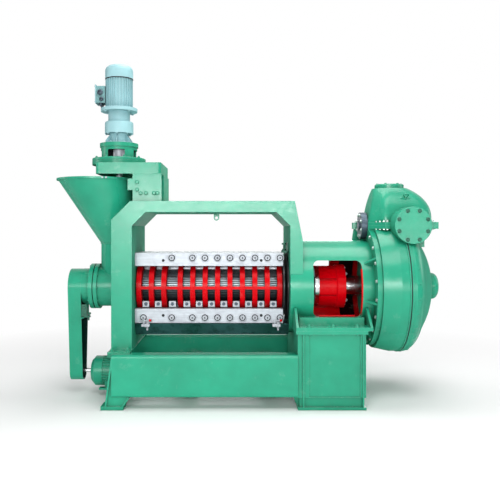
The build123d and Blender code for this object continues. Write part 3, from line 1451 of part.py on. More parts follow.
# Feeder shaft: coupling in the lantern, agitator arms in the hopper and an auger in the neck
auger_bottom = shaft_height + feed_bore_radius + 20
feeder_shaft_top = bell_top - 4
coupling_sleeve_radius = 46.0
with BuildPart() as feeder_shaft:
    with BuildSketch(Plane.XY.offset(auger_bottom)):
        with Locations((feeder_x, 0)):
            Circle(auger_shaft_radius)
    extrude(amount=feeder_shaft_top - auger_bottom)
    with BuildSketch(Plane.XY.offset(plate_top + 12)):
        with Locations((feeder_x, 0)):
            Circle(coupling_sleeve_radius)
    extrude(amount=lantern_ceiling - plate_top - 12)
    with BuildLine() as auger_path:
        Helix(pitch=auger_pitch, height=neck_top - auger_bottom - 20,
              radius=(auger_shaft_radius - 2 + auger_radius) / 2, center=(feeder_x, 0, auger_bottom + 10))
    auger_start = auger_path.line @ 0
    with BuildSketch(Plane(origin=auger_start, x_dir=(1, 0, 0), z_dir=auger_path.line % 0)):
        Rectangle(auger_radius - auger_shaft_radius + 2, 8)
    sweep(is_frenet=True)
    for arm in range(2):
        with Locations(Location((feeder_x, 0, neck_top + 90 + 100 * arm), (0, 0, 90 * arm))):
            Box(2 * auger_radius, 16, 16)
save(feeder_shaft.part, "feeder_shaft")

# Shaft bearings: plain rings that stand for the rolling bearings of every shaft
bearing_places = (
    (housing_right, output_bearing_radius, output_shaft_radius, drum_left - 12 - housing_right, shaft_height),
    (end_cap_left - 60, tail_bearing_radius, output_tail_radius, 50, shaft_height),
    (bearing_hub_left + 4, quill_bearing_radius, feed_shaft_radius, 36, shaft_height),
    (feed_left - feed_flange_thickness - 46, quill_bearing_radius, feed_shaft_radius, 36, shaft_height),
    (case_left, layshaft_bearing_radius, layshaft_radius, drum_left - case_left - 8, split_height),
)
with BuildPart() as shaft_bearings:
    for left, outer, inner, width, axis_z in bearing_places:
        with BuildSketch(x_plane(left, 0, axis_z)):
            Circle(outer)
            Circle(inner + running_clearance, mode=Mode.SUBTRACT)
        extrude(amount=width)
    for far in (input_front_seat + input_bearing_length, input_back_seat + input_bearing_length):
        with BuildSketch(y_plane(far, input_x, split_height)):
            Circle(input_bearing_radius)
            Circle(input_shaft_radius + running_clearance, mode=Mode.SUBTRACT)
        extrude(amount=input_bearing_length)
save(shaft_bearings.part, "shaft_bearings")

# Oil tray: trough of sheet steel under the cage, from the portal column to the pedestal
with BuildPart() as oil_tray:
    for inset, mode in ((0, Mode.ADD), (tray_wall, Mode.SUBTRACT)):
        with BuildSketch(x_plane(column_right + inset, 0, 0)):
            Polygon((-tray_top_half_width + inset, tray_top), (-tray_bottom_half_width + inset, tray_bottom + inset),
                    (tray_bottom_half_width - inset, tray_bottom + inset),
                    (tray_top_half_width - inset, tray_top), align=None)
        extrude(amount=housing_left - column_right - 2 * inset, mode=mode)
save(oil_tray.part, "oil_tray")
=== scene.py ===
import json
from math import cos, pi, radians, sin, sqrt

import bmesh
import bpy
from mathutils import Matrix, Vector


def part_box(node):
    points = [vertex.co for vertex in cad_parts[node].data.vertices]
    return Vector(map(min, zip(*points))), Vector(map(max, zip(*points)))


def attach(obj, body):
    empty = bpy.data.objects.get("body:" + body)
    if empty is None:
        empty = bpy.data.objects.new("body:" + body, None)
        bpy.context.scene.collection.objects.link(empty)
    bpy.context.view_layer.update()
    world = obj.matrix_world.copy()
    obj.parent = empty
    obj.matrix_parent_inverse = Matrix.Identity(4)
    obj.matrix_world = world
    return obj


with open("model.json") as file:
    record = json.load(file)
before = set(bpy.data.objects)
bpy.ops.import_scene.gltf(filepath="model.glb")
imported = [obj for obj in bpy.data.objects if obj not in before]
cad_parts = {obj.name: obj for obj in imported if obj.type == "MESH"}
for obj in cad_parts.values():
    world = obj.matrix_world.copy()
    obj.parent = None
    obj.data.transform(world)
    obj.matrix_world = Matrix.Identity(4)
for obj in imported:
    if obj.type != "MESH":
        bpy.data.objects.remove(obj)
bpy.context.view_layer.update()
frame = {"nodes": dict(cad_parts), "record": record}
nodes = frame["nodes"]

# Directions
RIGHT, LEFT = (1, 0, 0), (-1, 0, 0)
UP, DOWN = (0, 0, 1), (0, 0, -1)
SIDES = (-1, 1)  # front and back
HALF_STEP_OF_EIGHT = 22.5  # degrees, turns an eight-bolt circle off its axes


def middle(node, axis):
    """The middle of a node's box along one axis."""
    low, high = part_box(node)
    return (getattr(low, axis) + getattr(high, axis)) / 2


# Places that several pieces share, in metres
SHAFT_Z = 0.832
LINING_COUNT = 56
HOUSING_BORE = 0.3545
COUPLING_LEFT, COUPLING_RIGHT = (corner.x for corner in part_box("shaft_coupling"))
HOUSING_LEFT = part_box("coupling_housing")[0].x
FEEDER_X = middle("feeder_fan_cowl", "x")
SPLIT_Z = middle("input_front_cover", "z")
INPUT_X = middle("input_front_cover", "x")


# Materials
class Graph:
    """A material's node tree with short calls for the nodes that the finishes share."""

    def __init__(self, name):
        self.material = bpy.data.materials.new(name)
        self.material.use_nodes = True
        self.tree = self.material.node_tree
        self.tree.nodes.clear()
        self.output = self.new("ShaderNodeOutputMaterial")
        self.shader = self.new("ShaderNodeBsdfPrincipled")
        self.link(self.shader.outputs[0], self.output.inputs[0])
        self.coords = self.new("ShaderNodeTexCoord").outputs["Object"]

    def new(self, kind, **settings):
        node = self.tree.nodes.new(kind)
        for key, value in settings.items():
            setattr(node, key, value)
        return node

    def link(self, source, target):
        self.tree.links.new(source, target)

    def noise(self, scale, detail=3.0, stretch=None, roughness=0.55):
        node = self.new("ShaderNodeTexNoise")
        node.inputs["Scale"].default_value = scale
        node.inputs["Detail"].default_value = detail
        node.inputs["Roughness"].default_value = roughness
        source = self.coords
        if stretch:
            mapping = self.new("ShaderNodeMapping")
            mapping.inputs["Scale"].default_value = stretch
            self.link(self.coords, mapping.inputs["Vector"])
            source = mapping.outputs[0]
        self.link(source, node.inputs["Vector"])
        return node.outputs[0]

    def math(self, operation, a, b=0.0, clamp=False):
        node = self.new("ShaderNodeMath", operation=operation, use_clamp=clamp)
        for socket, value in zip(node.inputs, (a, b)):
            if isinstance(value, (int, float)):
                socket.default_value = value
            else:
                self.link(value, socket)
        return node.outputs[0]

    def product(self, first, *others):
        for other in others:
            first = self.math("MULTIPLY", first, other)
        return first

    def remap(self, value, low, high, to_low=0.0, to_high=1.0):
        node = self.new("ShaderNodeMapRange")
        self.link(value, node.inputs["Value"])
        limits = {"From Min": low, "From Max": high, "To Min": to_low, "To Max": to_high}
        for key, number in limits.items():
            node.inputs[key].default_value = number
        return node.outputs[0]

    def mix(self, factor, a, b, blend="MIX"):
        node = self.new("ShaderNodeMix", data_type="RGBA", blend_type=blend)
        for socket, value in ((node.inputs[0], factor), (node.inputs[6], a), (node.inputs[7], b)):
            if isinstance(value, (int, float)):
                socket.default_value = value
            elif isinstance(value, tuple):
                socket.default_value = (*value, 1.0)
            else:
                self.link(value, socket)
        return node.outputs[2]

    def split(self, vector):
        """The three parts of a vector."""
        parts = self.new("ShaderNodeSeparateXYZ")
        self.link(vector, parts.inputs[0])
        return parts.outputs

    def normal(self):
        return self.new("ShaderNodeNewGeometry").outputs["Normal"]

    def reach(self, a, b):
        """The distance from an axis, from the two offsets square to it."""
        return self.math("SQRT", self.math("ADD", self.product(a, a), self.product(b, b)))

    def edges(self, radius):
        """A normal rounded at edges, and a mask that is 1 on those edges."""
        bevel = self.new("ShaderNodeBevel", samples=4)
        bevel.inputs["Radius"].default_value = radius
        dot = self.new("ShaderNodeVectorMath", operation="DOT_PRODUCT")
        self.link(bevel.outputs[0], dot.inputs[0])
        self.link(self.normal(), dot.inputs[1])
        return bevel.outputs[0], self.remap(dot.outputs["Value"], 0.995, 0.90)

    def painted_shade_mask(self, distance):
        """A mask that is 1 in corners and narrow gaps, where shade is painted into the colour."""
        node = self.new("ShaderNodeAmbientOcclusion", samples=6)
        node.inputs["Distance"].default_value = distance
        return self.math("SUBTRACT", 1.0, node.outputs["AO"], clamp=True)

    def turned_away(self):
        """A mask that is 1 on faces along X or facing down, which the spray gun leaves dull."""
        parts = self.split(self.normal())
        sideways = self.math("ABSOLUTE", parts[0])
        downward = self.math("MULTIPLY", parts[2], -1.0)
        return self.remap(self.math("MAXIMUM", sideways, downward), 0.6, 0.85)

    def bump(self, height, strength, distance, normal=None):
        node = self.new("ShaderNodeBump")
        node.inputs["Strength"].default_value = strength
        node.inputs["Distance"].default_value = distance
        self.link(height, node.inputs["Height"])
        if normal:
            self.link(normal, node.inputs["Normal"])
        self.link(node.outputs[0], self.shader.inputs["Normal"])


materials = {}


def linear(r, g, b):
    """A colour of 0 to 255 as shader values."""
    return tuple(((v / 255 + 0.055) / 1.055) ** 2.4 if v > 10 else v / 255 / 12.92
                 for v in (r, g, b))


def shade(colour, share):
    return tuple(min(1.0, share * v) for v in colour)


def enamel(name, base, painted_shade, pale, roughness=(0.17, 0.27), chips=0.58, layers=(), level=0.35):
    """Sprayed machine paint: cloudy colour, painted shade in corners, chipped edges, a fine orange
    peel.

    Each layer is a mask function and a colour that the mask lays over the paint.
    """
    g = Graph(name)
    broad_clouds = g.remap(g.noise(1.7, 4.0), 0.3, 0.7, 0.0, 0.6)
    fine_clouds = g.remap(g.noise(8.0, 6.0), 0.3, 0.7, 0.0, 0.4)
    clouds = g.math("ADD", broad_clouds, fine_clouds)
    colour = g.mix(clouds, shade(base, 1.12), shade(base, 0.8))
    for mask, tint in layers:
        colour = g.mix(mask(g), colour, g.mix(clouds, tint, shade(tint, 0.75)))
    # Painted shade: corners and narrow gaps darken towards the shade colour
    corners = g.remap(g.painted_shade_mask(0.08), 0.12, 0.95, 0.0, 0.9)
    colour = g.mix(corners, colour, g.mix(0.88, colour, painted_shade, "MULTIPLY"))
    normal, edge = g.edges(0.0022)
    spots = g.remap(g.noise(70.0, 5.0), chips, chips + 0.06)
    worn = g.math("MULTIPLY", edge, g.math("ADD", 0.3, g.math("MULTIPLY", spots, 0.5)), clamp=True)
    colour = g.mix(worn, colour, pale)
    dust = g.remap(g.noise(9.0, 8.0, roughness=0.7), 0.6, 0.8, 0.0, 0.16)
    colour = g.mix(dust, colour, linear(190, 215, 200))
    g.link(colour, g.shader.inputs["Base Color"])
    polish = g.remap(g.noise(26.0, 5.0), 0.3, 0.7, *roughness)
    dullness = g.math("MULTIPLY", g.turned_away(), 0.55)
    g.link(g.math("ADD", polish, dullness), g.shader.inputs["Roughness"])
    g.shader.inputs["Specular IOR Level"].default_value = level
    peel = g.math("ADD", g.noise(330.0, 2.0), g.math("MULTIPLY", g.noise(24.0, 2.0), 1.6))
    g.bump(peel, 0.12, 0.0014, normal)
    materials[name] = g.material


def metal(name, base, dark, roughness, grain=(4.0, 160.0, 160.0), stain=0.4, metallic=1.0):
    """Bare steel: grain along one axis, uneven polish, faint stains, painted shade in corners and
    brighter edges.
    """
    g = Graph(name)
    lines = g.noise(1.0, 6.0, stretch=grain)
    colour = g.mix(g.remap(lines, 0.35, 0.7), base, shade(base, 0.82))
    stains = g.remap(g.noise(11.0, 6.0, roughness=0.65), 0.5, 0.72, 0.0, stain)
    colour = g.mix(stains, colour, dark)
    # Painted shade: corners and narrow gaps darkened
    colour = g.mix(g.remap(g.painted_shade_mask(0.03), 0.2, 0.95, 0.0, 0.8), colour, shade(dark, 0.25))
    normal, edge = g.edges(0.0012)
    colour = g.mix(g.math("MULTIPLY", edge, 0.5), colour, shade(base, 1.25))
    g.link(colour, g.shader.inputs["Base Color"])
    g.shader.inputs["Metallic"].default_value = metallic
    g.link(g.remap(g.noise(40.0, 6.0), 0.3, 0.7, *roughness), g.shader.inputs["Roughness"])
    g.bump(lines, 0.14, 0.0006, normal)
    materials[name] = g.material


def rubber(name):
    """Drive belt rubber: nearly black, dusty and finely grained."""
    g = Graph(name)
    colour = g.mix(g.remap(g.noise(30.0, 6.0), 0.4, 0.75), linear(26, 26, 28), linear(58, 57, 55))
    g.link(colour, g.shader.inputs["Base Color"])
    g.link(g.remap(g.noise(50.0, 4.0), 0.3, 0.7, 0.6, 0.85), g.shader.inputs["Roughness"])
    g.bump(g.noise(500.0, 3.0), 0.3, 0.0006)
    materials[name] = g.material


def near_shaft(g, radius, left, right, back_only=False):
    """1 within a radius of the press axis and between two places along it."""
    x, y, z = g.split(g.coords)
    reach = g.reach(g.math("SUBTRACT", z, SHAFT_Z), y)
    mask = g.product(g.remap(reach, radius + 0.001, radius), g.math("GREATER_THAN", x, left),
                     g.remap(x, right + 0.012, right))
    return g.product(mask, g.math("GREATER_THAN", y, 0.0)) if back_only else mask


def inside_housing(g):
    """The inner faces and the window edges of the coupling housing."""
    return near_shaft(g, HOUSING_BORE, HOUSING_LEFT + 0.008, 1.1)


def far_shadow(g):
    """The unlit strip of the housing's far wall beside the coupling."""
    return near_shaft(g, HOUSING_BORE, 0.86, 0.975, back_only=True)


def inside_guard(g):
    """The unlit inner walls of the belt guard."""
    place, facing = g.split(g.coords), g.split(g.normal())
    guard_middle_z, guard_end_x = 0.5, -1.2
    across = g.math("LESS_THAN", g.product(place[1], facing[1]), -0.02)
    height = g.math("SUBTRACT", place[2], guard_middle_z)
    upright = g.math("LESS_THAN", g.product(height, facing[2]), -0.12)
    end_wall = g.product(g.math("GREATER_THAN", facing[0], 0.5),
                         g.math("LESS_THAN", place[0], guard_end_x))
    return g.math("MAXIMUM", g.math("MAXIMUM", across, upright), end_wall)


def inside_lantern(g):
    """The unlit inner wall of the feeder's lantern."""
    x, y, z = g.split(g.coords)
    return g.remap(g.reach(g.math("SUBTRACT", x, FEEDER_X), y), 0.1295, 0.1285)


def lining(name):
    """Lining bars of the cage: polished crowns, oily joints, darker below the press axis, painted
    shade in the gaps.
    """
    g = Graph(name)
    x, y, z = g.split(g.coords)
    up = g.math("SUBTRACT", z, SHAFT_Z)
    turn = g.math("MULTIPLY", g.math("ARCTAN2", up, y), LINING_COUNT / (2 * pi))
    off_middle = g.math("SUBTRACT", g.math("FRACT", turn), 0.5)
    crown = g.math("MULTIPLY", g.math("ABSOLUTE", off_middle), 2.0)
    joint = g.remap(crown, 0.35, 0.75)
    # Darker below the press axis
    below_axis = g.remap(up, 0.012, -0.012, 0.0, 0.85)
    patches = g.remap(g.noise(14.0, 6.0, stretch=(0.35, 1.0, 1.0)), 0.35, 0.7)
    colour = g.mix(patches, linear(172, 186, 190), linear(96, 110, 118))
    colour = g.mix(joint, colour, linear(34, 40, 46))
    colour = g.mix(below_axis, colour, linear(22, 28, 34))
    # Painted shade: corners and narrow gaps near black
    colour = g.mix(g.remap(g.painted_shade_mask(0.03), 0.3, 0.95, 0.0, 0.8), colour, linear(8, 10, 12))
    g.link(colour, g.shader.inputs["Base Color"])
    g.shader.inputs["Metallic"].default_value = 0.6
    g.link(g.remap(g.noise(40.0, 6.0), 0.3, 0.7, 0.3, 0.5), g.shader.inputs["Roughness"])
    g.bump(g.noise(1.0, 6.0, stretch=(6.0, 160.0, 160.0)), 0.14, 0.0006)
    materials[name] = g.material


# Finishes
GREEN = (linear(34, 154, 121), linear(0, 110, 76), linear(150, 226, 204))
BLUE_PALE = linear(226, 240, 242)
BLUE = (linear(156, 200, 206), linear(110, 160, 165), BLUE_PALE)
RED = (linear(205, 0, 14), linear(110, 0, 8), linear(240, 60, 70))
BLACK = (linear(20, 26, 30), linear(40, 50, 60), linear(110, 120, 124))
BOX_BLUE = (linear(112, 158, 160), linear(60, 100, 104), BLUE_PALE)
EVEN = (40.0, 40.0, 40.0)  # grain without a direction

housing_layers = ((inside_housing, RED[0]), (far_shadow, linear(26, 0, 4)))
lantern_layers = ((inside_lantern, linear(18, 26, 34)),)
guard_layers = ((inside_guard, linear(8, 48, 42)),)
enamel("green_enamel", *GREEN)
enamel("green_housing", *GREEN, layers=housing_layers)
enamel("green_lantern", *GREEN, layers=lantern_layers)
enamel("green_guard", *GREEN, layers=guard_layers)
enamel("grey_blue_enamel", *BLUE, (0.3, 0.45), 0.62)
enamel("red_enamel", *RED, (0.2, 0.32), 0.66, level=0.1)
enamel("black_enamel", *BLACK, (0.25, 0.4))
enamel("box_enamel", *BOX_BLUE, (0.3, 0.45), 0.6)
lining("lining_steel")
metal("tray_sheet", linear(86, 140, 140), linear(20, 54, 54), (0.3, 0.5), (3.0, 12.0, 12.0), 0.8)
metal("blued_steel", linear(74, 88, 100), linear(24, 32, 40), (0.3, 0.5), (30.0, 30.0, 30.0),
      0.6, 0.6)
metal("dark_gap", linear(16, 18, 22), linear(6, 6, 8), (0.6, 0.8), EVEN, 0.5, 0.0)
metal("machined_steel", linear(182, 188, 195), linear(120, 120, 132), (0.4, 0.6), metallic=0.3)
metal("bright_shaft", linear(226, 228, 230), linear(120, 120, 122), (0.14, 0.28), (160.0, 9.0, 9.0))
metal("oiled_steel", linear(112, 128, 134), linear(30, 36, 40), (0.22, 0.4))
metal("gear_steel", linear(150, 154, 158), linear(60, 58, 56), (0.3, 0.45))
metal("pale_bolt", linear(190, 206, 200), linear(60, 110, 96), (0.3, 0.5), EVEN, 0.7)
metal("dark_bolt", linear(24, 92, 72), linear(8, 40, 30), (0.35, 0.5), EVEN, 0.5, 0.2)
metal("grey_iron", linear(112, 116, 118), linear(50, 48, 46), (0.4, 0.6))
rubber("belt_rubber")

# CAD nodes whose finish isn't the one that their slot names
finishes = {"coupling_housing": "green_housing", "feeder_lantern": "green_lantern",
            "belt_guard": "green_guard", "oil_tray": "tray_sheet", "cage_end_ring": "black_enamel",
            "front_lining_bars": "lining_steel", "back_lining_bars": "lining_steel",
            "layshaft_cover": "blued_steel", "feeder_terminal_box": "box_enamel"}

for entry in frame["record"]["subparts"]:
    node_mesh = nodes[entry["node"]].data
    node_mesh.materials.clear()
    node_mesh.materials.append(materials[finishes.get(entry["node"], entry["material_slot"])])


# Mesh helpers
def lathe(bm, origin, axis, profile, segments=20):
    """Adds a turned form whose profile is (radius, height) pairs along axis from origin."""
    axis = Vector(axis).normalized()
    side = axis.orthogonal().normalized()
    other = axis.cross(side)
    rings = []
    for radius, height in profile:
        centre = Vector(origin) + axis * height
        count = segments if radius > 1e-6 else 1
        turns = [2 * pi * i / segments for i in range(count)]
        rings.append([bm.verts.new(centre + radius * (cos(a) * side + sin(a) * other))
                      for a in turns])
    for low, high in zip(rings, rings[1:]):
        for i in range(segments):
            j = (i + 1) % segments
            if len(low) > 1 and len(high) > 1:
                bm.faces.new((low[i], low[j], high[j], high[i]))
            elif len(high) > 1:
                bm.faces.new((low[0], high[j], high[i]))
            elif len(low) > 1:
                bm.faces.new((low[i], low[j], high[0]))


def disc(bm, origin, axis, radius, height):
    """Adds a plain round bar."""
    lathe(bm, origin, axis, [(0, 0), (radius, 0), (radius, height), (0, height)], 14)


def bolt(bm, origin, axis, size, stud=0.0, washer=True):
    """Hex head or nut on a washer. Size is its corner radius, stud how far a thread stands out."""
    base = 0.24 * size if washer else 0.0
    if washer:
        lathe(bm, origin, axis,
              [(0, 0), (1.4 * size, 0), (1.4 * size, 0.7 * base), (1.3 * size, base), (0, base)])
    top = base + 0.72 * size
    lathe(bm, origin, axis,
          [(0, base), (size, base), (size, top - 0.1 * size), (0.86 * size, top), (0, top)], 6)
    if stud:
        lathe(bm, origin, axis, [(0, top), (0.5 * size, top), (0.5 * size, top + stud - 0.1 * size),
                                 (0.4 * size, top + stud), (0, top + stud)], 14)


def bolts(bm, places, axis, size, stud=0.0, washer=True):
    for place in places:
        bolt(bm, place, axis, size, stud, washer)


def block(bm, low, high, chamfer=0.002):
    """Adds a box with chamfered edges."""
    box = bmesh.new()
    low, high = Vector(low), Vector(high)
    for v in bmesh.ops.create_cube(box, size=1.0)["verts"]:
        v.co = Vector([(low[i] + high[i]) / 2 + v.co[i] * (high[i] - low[i]) for i in range(3)])
    bmesh.ops.bevel(box, geom=box.edges[:], offset=chamfer, segments=2, affect="EDGES")
    # The bevel's faces come in an order that varies from run to run, so they go in sorted
    faces = sorted([tuple(v.co) for v in face.verts] for face in box.faces)
    box.free()
    verts = {p: bm.verts.new(p) for p in sorted({p for points in faces for p in points})}
    for points in faces:
        bm.faces.new([verts[p] for p in points])


def tube(bm, points, radius, segments=10, ripple=0.0, closed=False):
    """Adds a round bar along points; ripple swells every second ring, as on a weld."""
    rings = []
    points = [Vector(p) for p in points]
    count = len(points)
    for k, point in enumerate(points):
        before = points[k - 1] if k or closed else point
        after = points[(k + 1) % count] if k < count - 1 or closed else point
        along = (after - before).normalized()
        up = Vector((0, 0, 1)) if abs(along.z) < 0.9 else Vector((1, 0, 0))
        side = along.cross(up).normalized()
        up = side.cross(along)
        size = radius * (1 + ripple * (k % 2))
        turns = [2 * pi * i / segments for i in range(segments)]
        rings.append([bm.verts.new(point + size * (cos(a) * side + sin(a) * up)) for a in turns])
    pairs = list(zip(rings, rings[1:])) + ([(rings[-1], rings[0])] if closed else [])
    for low, high in pairs:
        for i in range(segments):
            j = (i + 1) % segments
            bm.faces.new((low[i], low[j], high[j], high[i]))
    if not closed:
        bm.faces.new(rings[0][::-1])
        bm.faces.new(rings[-1])


def weld(bm, a, b, radius):
    """A rippled bead from a to b."""
    a, b = Vector(a), Vector(b)
    steps = max(2, int((b - a).length / 0.005))
    tube(bm, [a.lerp(b, i / steps) for i in range(steps + 1)], radius, 6, 0.22)


def circle(centre, axis, radius, count, first=0.0):
    """Points of a bolt circle. The first lies towards +Z, or towards +X round a vertical axis."""
    axis = Vector(axis).normalized()
    side = Vector((0, 0, 1)) if abs(axis.z) < 0.5 else Vector((1, 0, 0))
    other = axis.cross(side)
    return [Vector(centre) + radius * (cos(radians(first) + 2 * pi * i / count) * side
                                       + sin(radians(first) + 2 * pi * i / count) * other)
            for i in range(count)]


def ring_weld(bm, centre, axis, radius, bead):
    """A rippled bead all the way round an axis."""
    axis = Vector(axis).normalized()
    side = axis.orthogonal().normalized()
    other = axis.cross(side)
    steps = max(8, int(radius * 2 * pi / 0.006))
    turns = [2 * pi * i / steps for i in range(steps)]
    points = [Vector(centre) + radius * (cos(a) * side + sin(a) * other) for a in turns]
    tube(bm, points, bead, 6, 0.22, closed=True)


SHARP_EDGE = radians(38.0)  # an edge that turns more than this isn't smoothed


def piece(name, bm, finish, body="frame"):
    """Turns a bmesh into one piece of the object, riding on a CAD body."""
    bmesh.ops.recalc_face_normals(bm, faces=bm.faces)
    mesh = bpy.data.meshes.new(name)
    bm.to_mesh(mesh)
    bm.free()
    mesh.polygons.foreach_set("use_smooth", [True] * len(mesh.polygons))
    mesh.set_sharp_from_angle(angle=SHARP_EDGE)
    mesh.materials.append(materials[finish])
    obj = bpy.data.objects.new(name, mesh)
    bpy.context.scene.collection.objects.link(obj)
    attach(obj, body)
    return obj


# Bolts of the two covers on the input shaft's bearings
bm = bmesh.new()
for face_y, way in ((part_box("input_front_cover")[0].y, -1), (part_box("input_back_cover")[1].y, 1)):
    cover_centre = (INPUT_X, face_y, SPLIT_Z)
    bolts(bm, circle(cover_centre, (0, way, 0), 0.112, 8, HALF_STEP_OF_EIGHT), (0, way, 0), 0.0105)
piece("input_cover_bolts", bm, "dark_bolt")

# Bolts of the split flange, above and below it: X, distance from the middle, size
split_low, split_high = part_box("gearbox_upper_case")
flange_half_height = 0.025
corner_x, end_x = split_high.x - 0.05, split_high.x - 0.016
flange_rows = ((1.066, 0.179, 0.0065), (1.088, 0.2065, 0.008), (1.11, 0.235, 0.0095),
               (1.133, 0.246, 0.0105), (corner_x, 0.246, 0.0115), (end_x, 0.2, 0.0095),
               (end_x, 0.07, 0.0095))
flange_places = [(split_low.x + 0.03, 0.146, 0.011)]
flange_places += [(x, side * y, size) for side in SIDES for x, y, size in flange_rows]
bm = bmesh.new()
for bolt_x, bolt_y, size in flange_places:
    bolt(bm, (bolt_x, bolt_y, SPLIT_Z + flange_half_height), UP, size, 0.6 * size)
    bolt(bm, (bolt_x, bolt_y, SPLIT_Z - flange_half_height), DOWN, size)
piece("split_flange_bolts", bm, "pale_bolt")

bm = bmesh.new()
layshaft_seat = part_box("layshaft_cover")[0].x + 0.012
bolts(bm, circle((layshaft_seat, 0, SPLIT_Z), LEFT, 0.086, 8, HALF_STEP_OF_EIGHT), LEFT, 0.010)
piece("layshaft_cover_bolts", bm, "pale_bolt")

# Bolts round the housing's gearbox flange, left out where the upper case covers it
bm = bmesh.new()
adapter_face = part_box("coupling_housing")[1].x
for place in circle((adapter_face, 0, SHAFT_Z), LEFT, 0.428, 20, 9.0):
    if place.z < 1.1 or abs(place.y) > 0.17:
        bolt(bm, place, LEFT, 0.0115)
piece("adapter_bolts", bm, "pale_bolt")

bm = bmesh.new()
lid_top = (middle("gearbox_lid", "x"), 0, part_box("gearbox_lid")[1].z)
bolts(bm, circle(lid_top, UP, 0.092, 6), UP, 0.009, washer=False)
piece("lid_bolts", bm, "green_enamel")

# Bolts on bosses round the domed end cover, left out under the upper case and the input boss
bm = bmesh.new()
cover_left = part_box("gearbox_end_cover")[0].x
boss_height = 0.028
for place in circle((cover_left + 0.03, 0, SHAFT_Z), RIGHT, 0.483, 28, 6.4):
    under_input_boss = -0.3 < place.y < 0 and place.z > 1.08
    if place.z < 1.12 and not under_input_boss:
        lathe(bm, place, RIGHT,
              [(0, 0), (0.0185, 0), (0.0185, 0.026), (0.017, boss_height), (0, boss_height)])
        bolt(bm, place + Vector((boss_height, 0, 0)), RIGHT, 0.0115, washer=False)
piece("end_cover_bolts", bm, "green_enamel")

# Joint of the drum and the end cover: a dark line between two low rims
joint_inner, joint_radius, rim_radius, rim_round = 0.49, 0.5016, 0.5065, 0.002
bm = bmesh.new()
lathe(bm, (cover_left - 0.003, 0, SHAFT_Z), RIGHT,
      [(joint_inner, 0), (joint_radius, 0), (joint_radius, 0.006), (joint_inner, 0.006)], 128)
piece("drum_joint", bm, "dark_gap")
bm = bmesh.new()
for rim_left, rim_width in ((cover_left - 0.013, 0.009), (cover_left + 0.004, 0.013)):
    lathe(bm, (rim_left, 0, SHAFT_Z), RIGHT,
          [(joint_inner, 0), (rim_radius - rim_round, 0), (rim_radius, rim_round),
           (rim_radius, rim_width - rim_round), (rim_radius - rim_round, rim_width),
           (joint_inner, rim_width)], 128)
piece("drum_joint_rims", bm, "green_enamel")

# Lifting eye on the upper case, between two screws
bm = bmesh.new()
eye_axis = Vector((0.0, -0.83, 0.56)).normalized()
eye_seat = Vector((1.283, -0.183, 1.511))
lathe(bm, eye_seat - 0.01 * eye_axis, eye_axis,
      [(0, 0), (0.016, 0), (0.016, 0.014), (0.008, 0.016), (0.008, 0.024), (0, 0.024)], 18)
tube(bm, circle(eye_seat + 0.03 * eye_axis, (0.0, 0.56, 0.83), 0.017, 24), 0.0052, closed=True)
for way in (-1, 1):
    bolt(bm, eye_seat + Vector((0.03 * way, -0.002, -0.004)), eye_axis, 0.0085)
piece("gearbox_eye_bolt", bm, "green_enamel")

# Saddle bolts through its floor and nuts below it, and column bolts through the soles
bm = bmesh.new()
saddle_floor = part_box("saddle")[0].z + 0.025
saddle_nut_z, sole_top = 0.532, 0.396
for side in SIDES:
    for bolt_x in (0.525, 0.694, 0.863):
        bolt(bm, (bolt_x, side * 0.488, saddle_floor), UP, 0.013, 0.01)
        bolt(bm, (bolt_x, side * 0.5, saddle_nut_z), DOWN, 0.010, washer=False)
for side in SIDES:
    for bolt_x in (-0.885, -0.772):
        bolt(bm, (bolt_x, side * 0.41, sole_top), UP, 0.014, 0.012)
piece("base_bolts", bm, "green_enamel")

# Bolts through the two feed flanges
bm = bmesh.new()
flange_left, flange_right, half_step_of_ten = -1.115, -1.049, 18.0
left_circle = circle((flange_left, 0, SHAFT_Z), LEFT, 0.163, 10, half_step_of_ten)
right_circle = circle((flange_right, 0, SHAFT_Z), RIGHT, 0.166, 10, half_step_of_ten)
bolts(bm, left_circle, LEFT, 0.0085)
bolts(bm, right_circle, RIGHT, 0.0075, washer=False)
piece("feed_flange_bolts", bm, "green_enamel")

# Cage: washers and nuts over the through bolts
CLAMP_FACE = 0.195
rib_x = [-0.725, -0.631, -0.537] + [-0.414 + 0.094 * i for i in range(9)]
upper_x = [(rib_x[2] + rib_x[3]) / 2] + rib_x[4:]
lower_x = [rib_x[0] + 0.037] + upper_x
clamp_bolts = [(bolt_x, way * CLAMP_FACE, bolt_z, way)
               for bolt_z, places in ((1.0585, upper_x), (0.61, lower_x))
               for bolt_x in places for way in SIDES]
washer_inner, washer_outer, nut_radius, socket_radius = 0.019, 0.031, 0.0118, 0.004
bm = bmesh.new()
for bolt_x, face_y, bolt_z, way in clamp_bolts:
    lathe(bm, (bolt_x, face_y, bolt_z), (0, way, 0),
          [(washer_inner, 0), (washer_outer, 0), (washer_outer, 0.003),
           (washer_outer - 0.002, 0.004), (washer_inner, 0.004)], 28)
    lathe(bm, (bolt_x, face_y + way * 0.014, bolt_z), (0, way, 0),
          [(0.0, 0), (nut_radius, 0), (nut_radius, 0.006), (0.0105, 0.0075),
           (socket_radius, 0.0075), (0.003, 0.005), (0.0, 0.005)], 20)
piece("cage_washers", bm, "machined_steel")

# Painted shade: dark rings for the grooves round the washers, dark centres in the nuts and dark discs
# at two tapped holes in each clamp bar
bm = bmesh.new()
for bolt_x, face_y, bolt_z, way in clamp_bolts:
    lathe(bm, (bolt_x, face_y, bolt_z), (0, way, 0),
          [(0.0192, 0.0036), (0.0192, 0.0047), (0.0248, 0.0047), (0.0248, 0.0036)], 28)
    lathe(bm, (bolt_x, face_y + way * 0.0215, bolt_z), (0, way, 0),
          [(0.0, 0), (0.0064, 0), (0.0056, 0.0012), (0.0, 0.0012)], 16)
for hole_x in (-0.54, 0.197):
    for hole_z in (1.039, 0.6255):
        for way in SIDES:
            lathe(bm, (hole_x, way * CLAMP_FACE, hole_z), (0, way, 0),
                  [(0.0, 0.0004), (0.0085, 0.0004), (0.0095, 0.001), (0.0108, 0.001),
                   (0.0108, 0.0)], 20)
piece("cage_painted_shade", bm, "dark_gap")

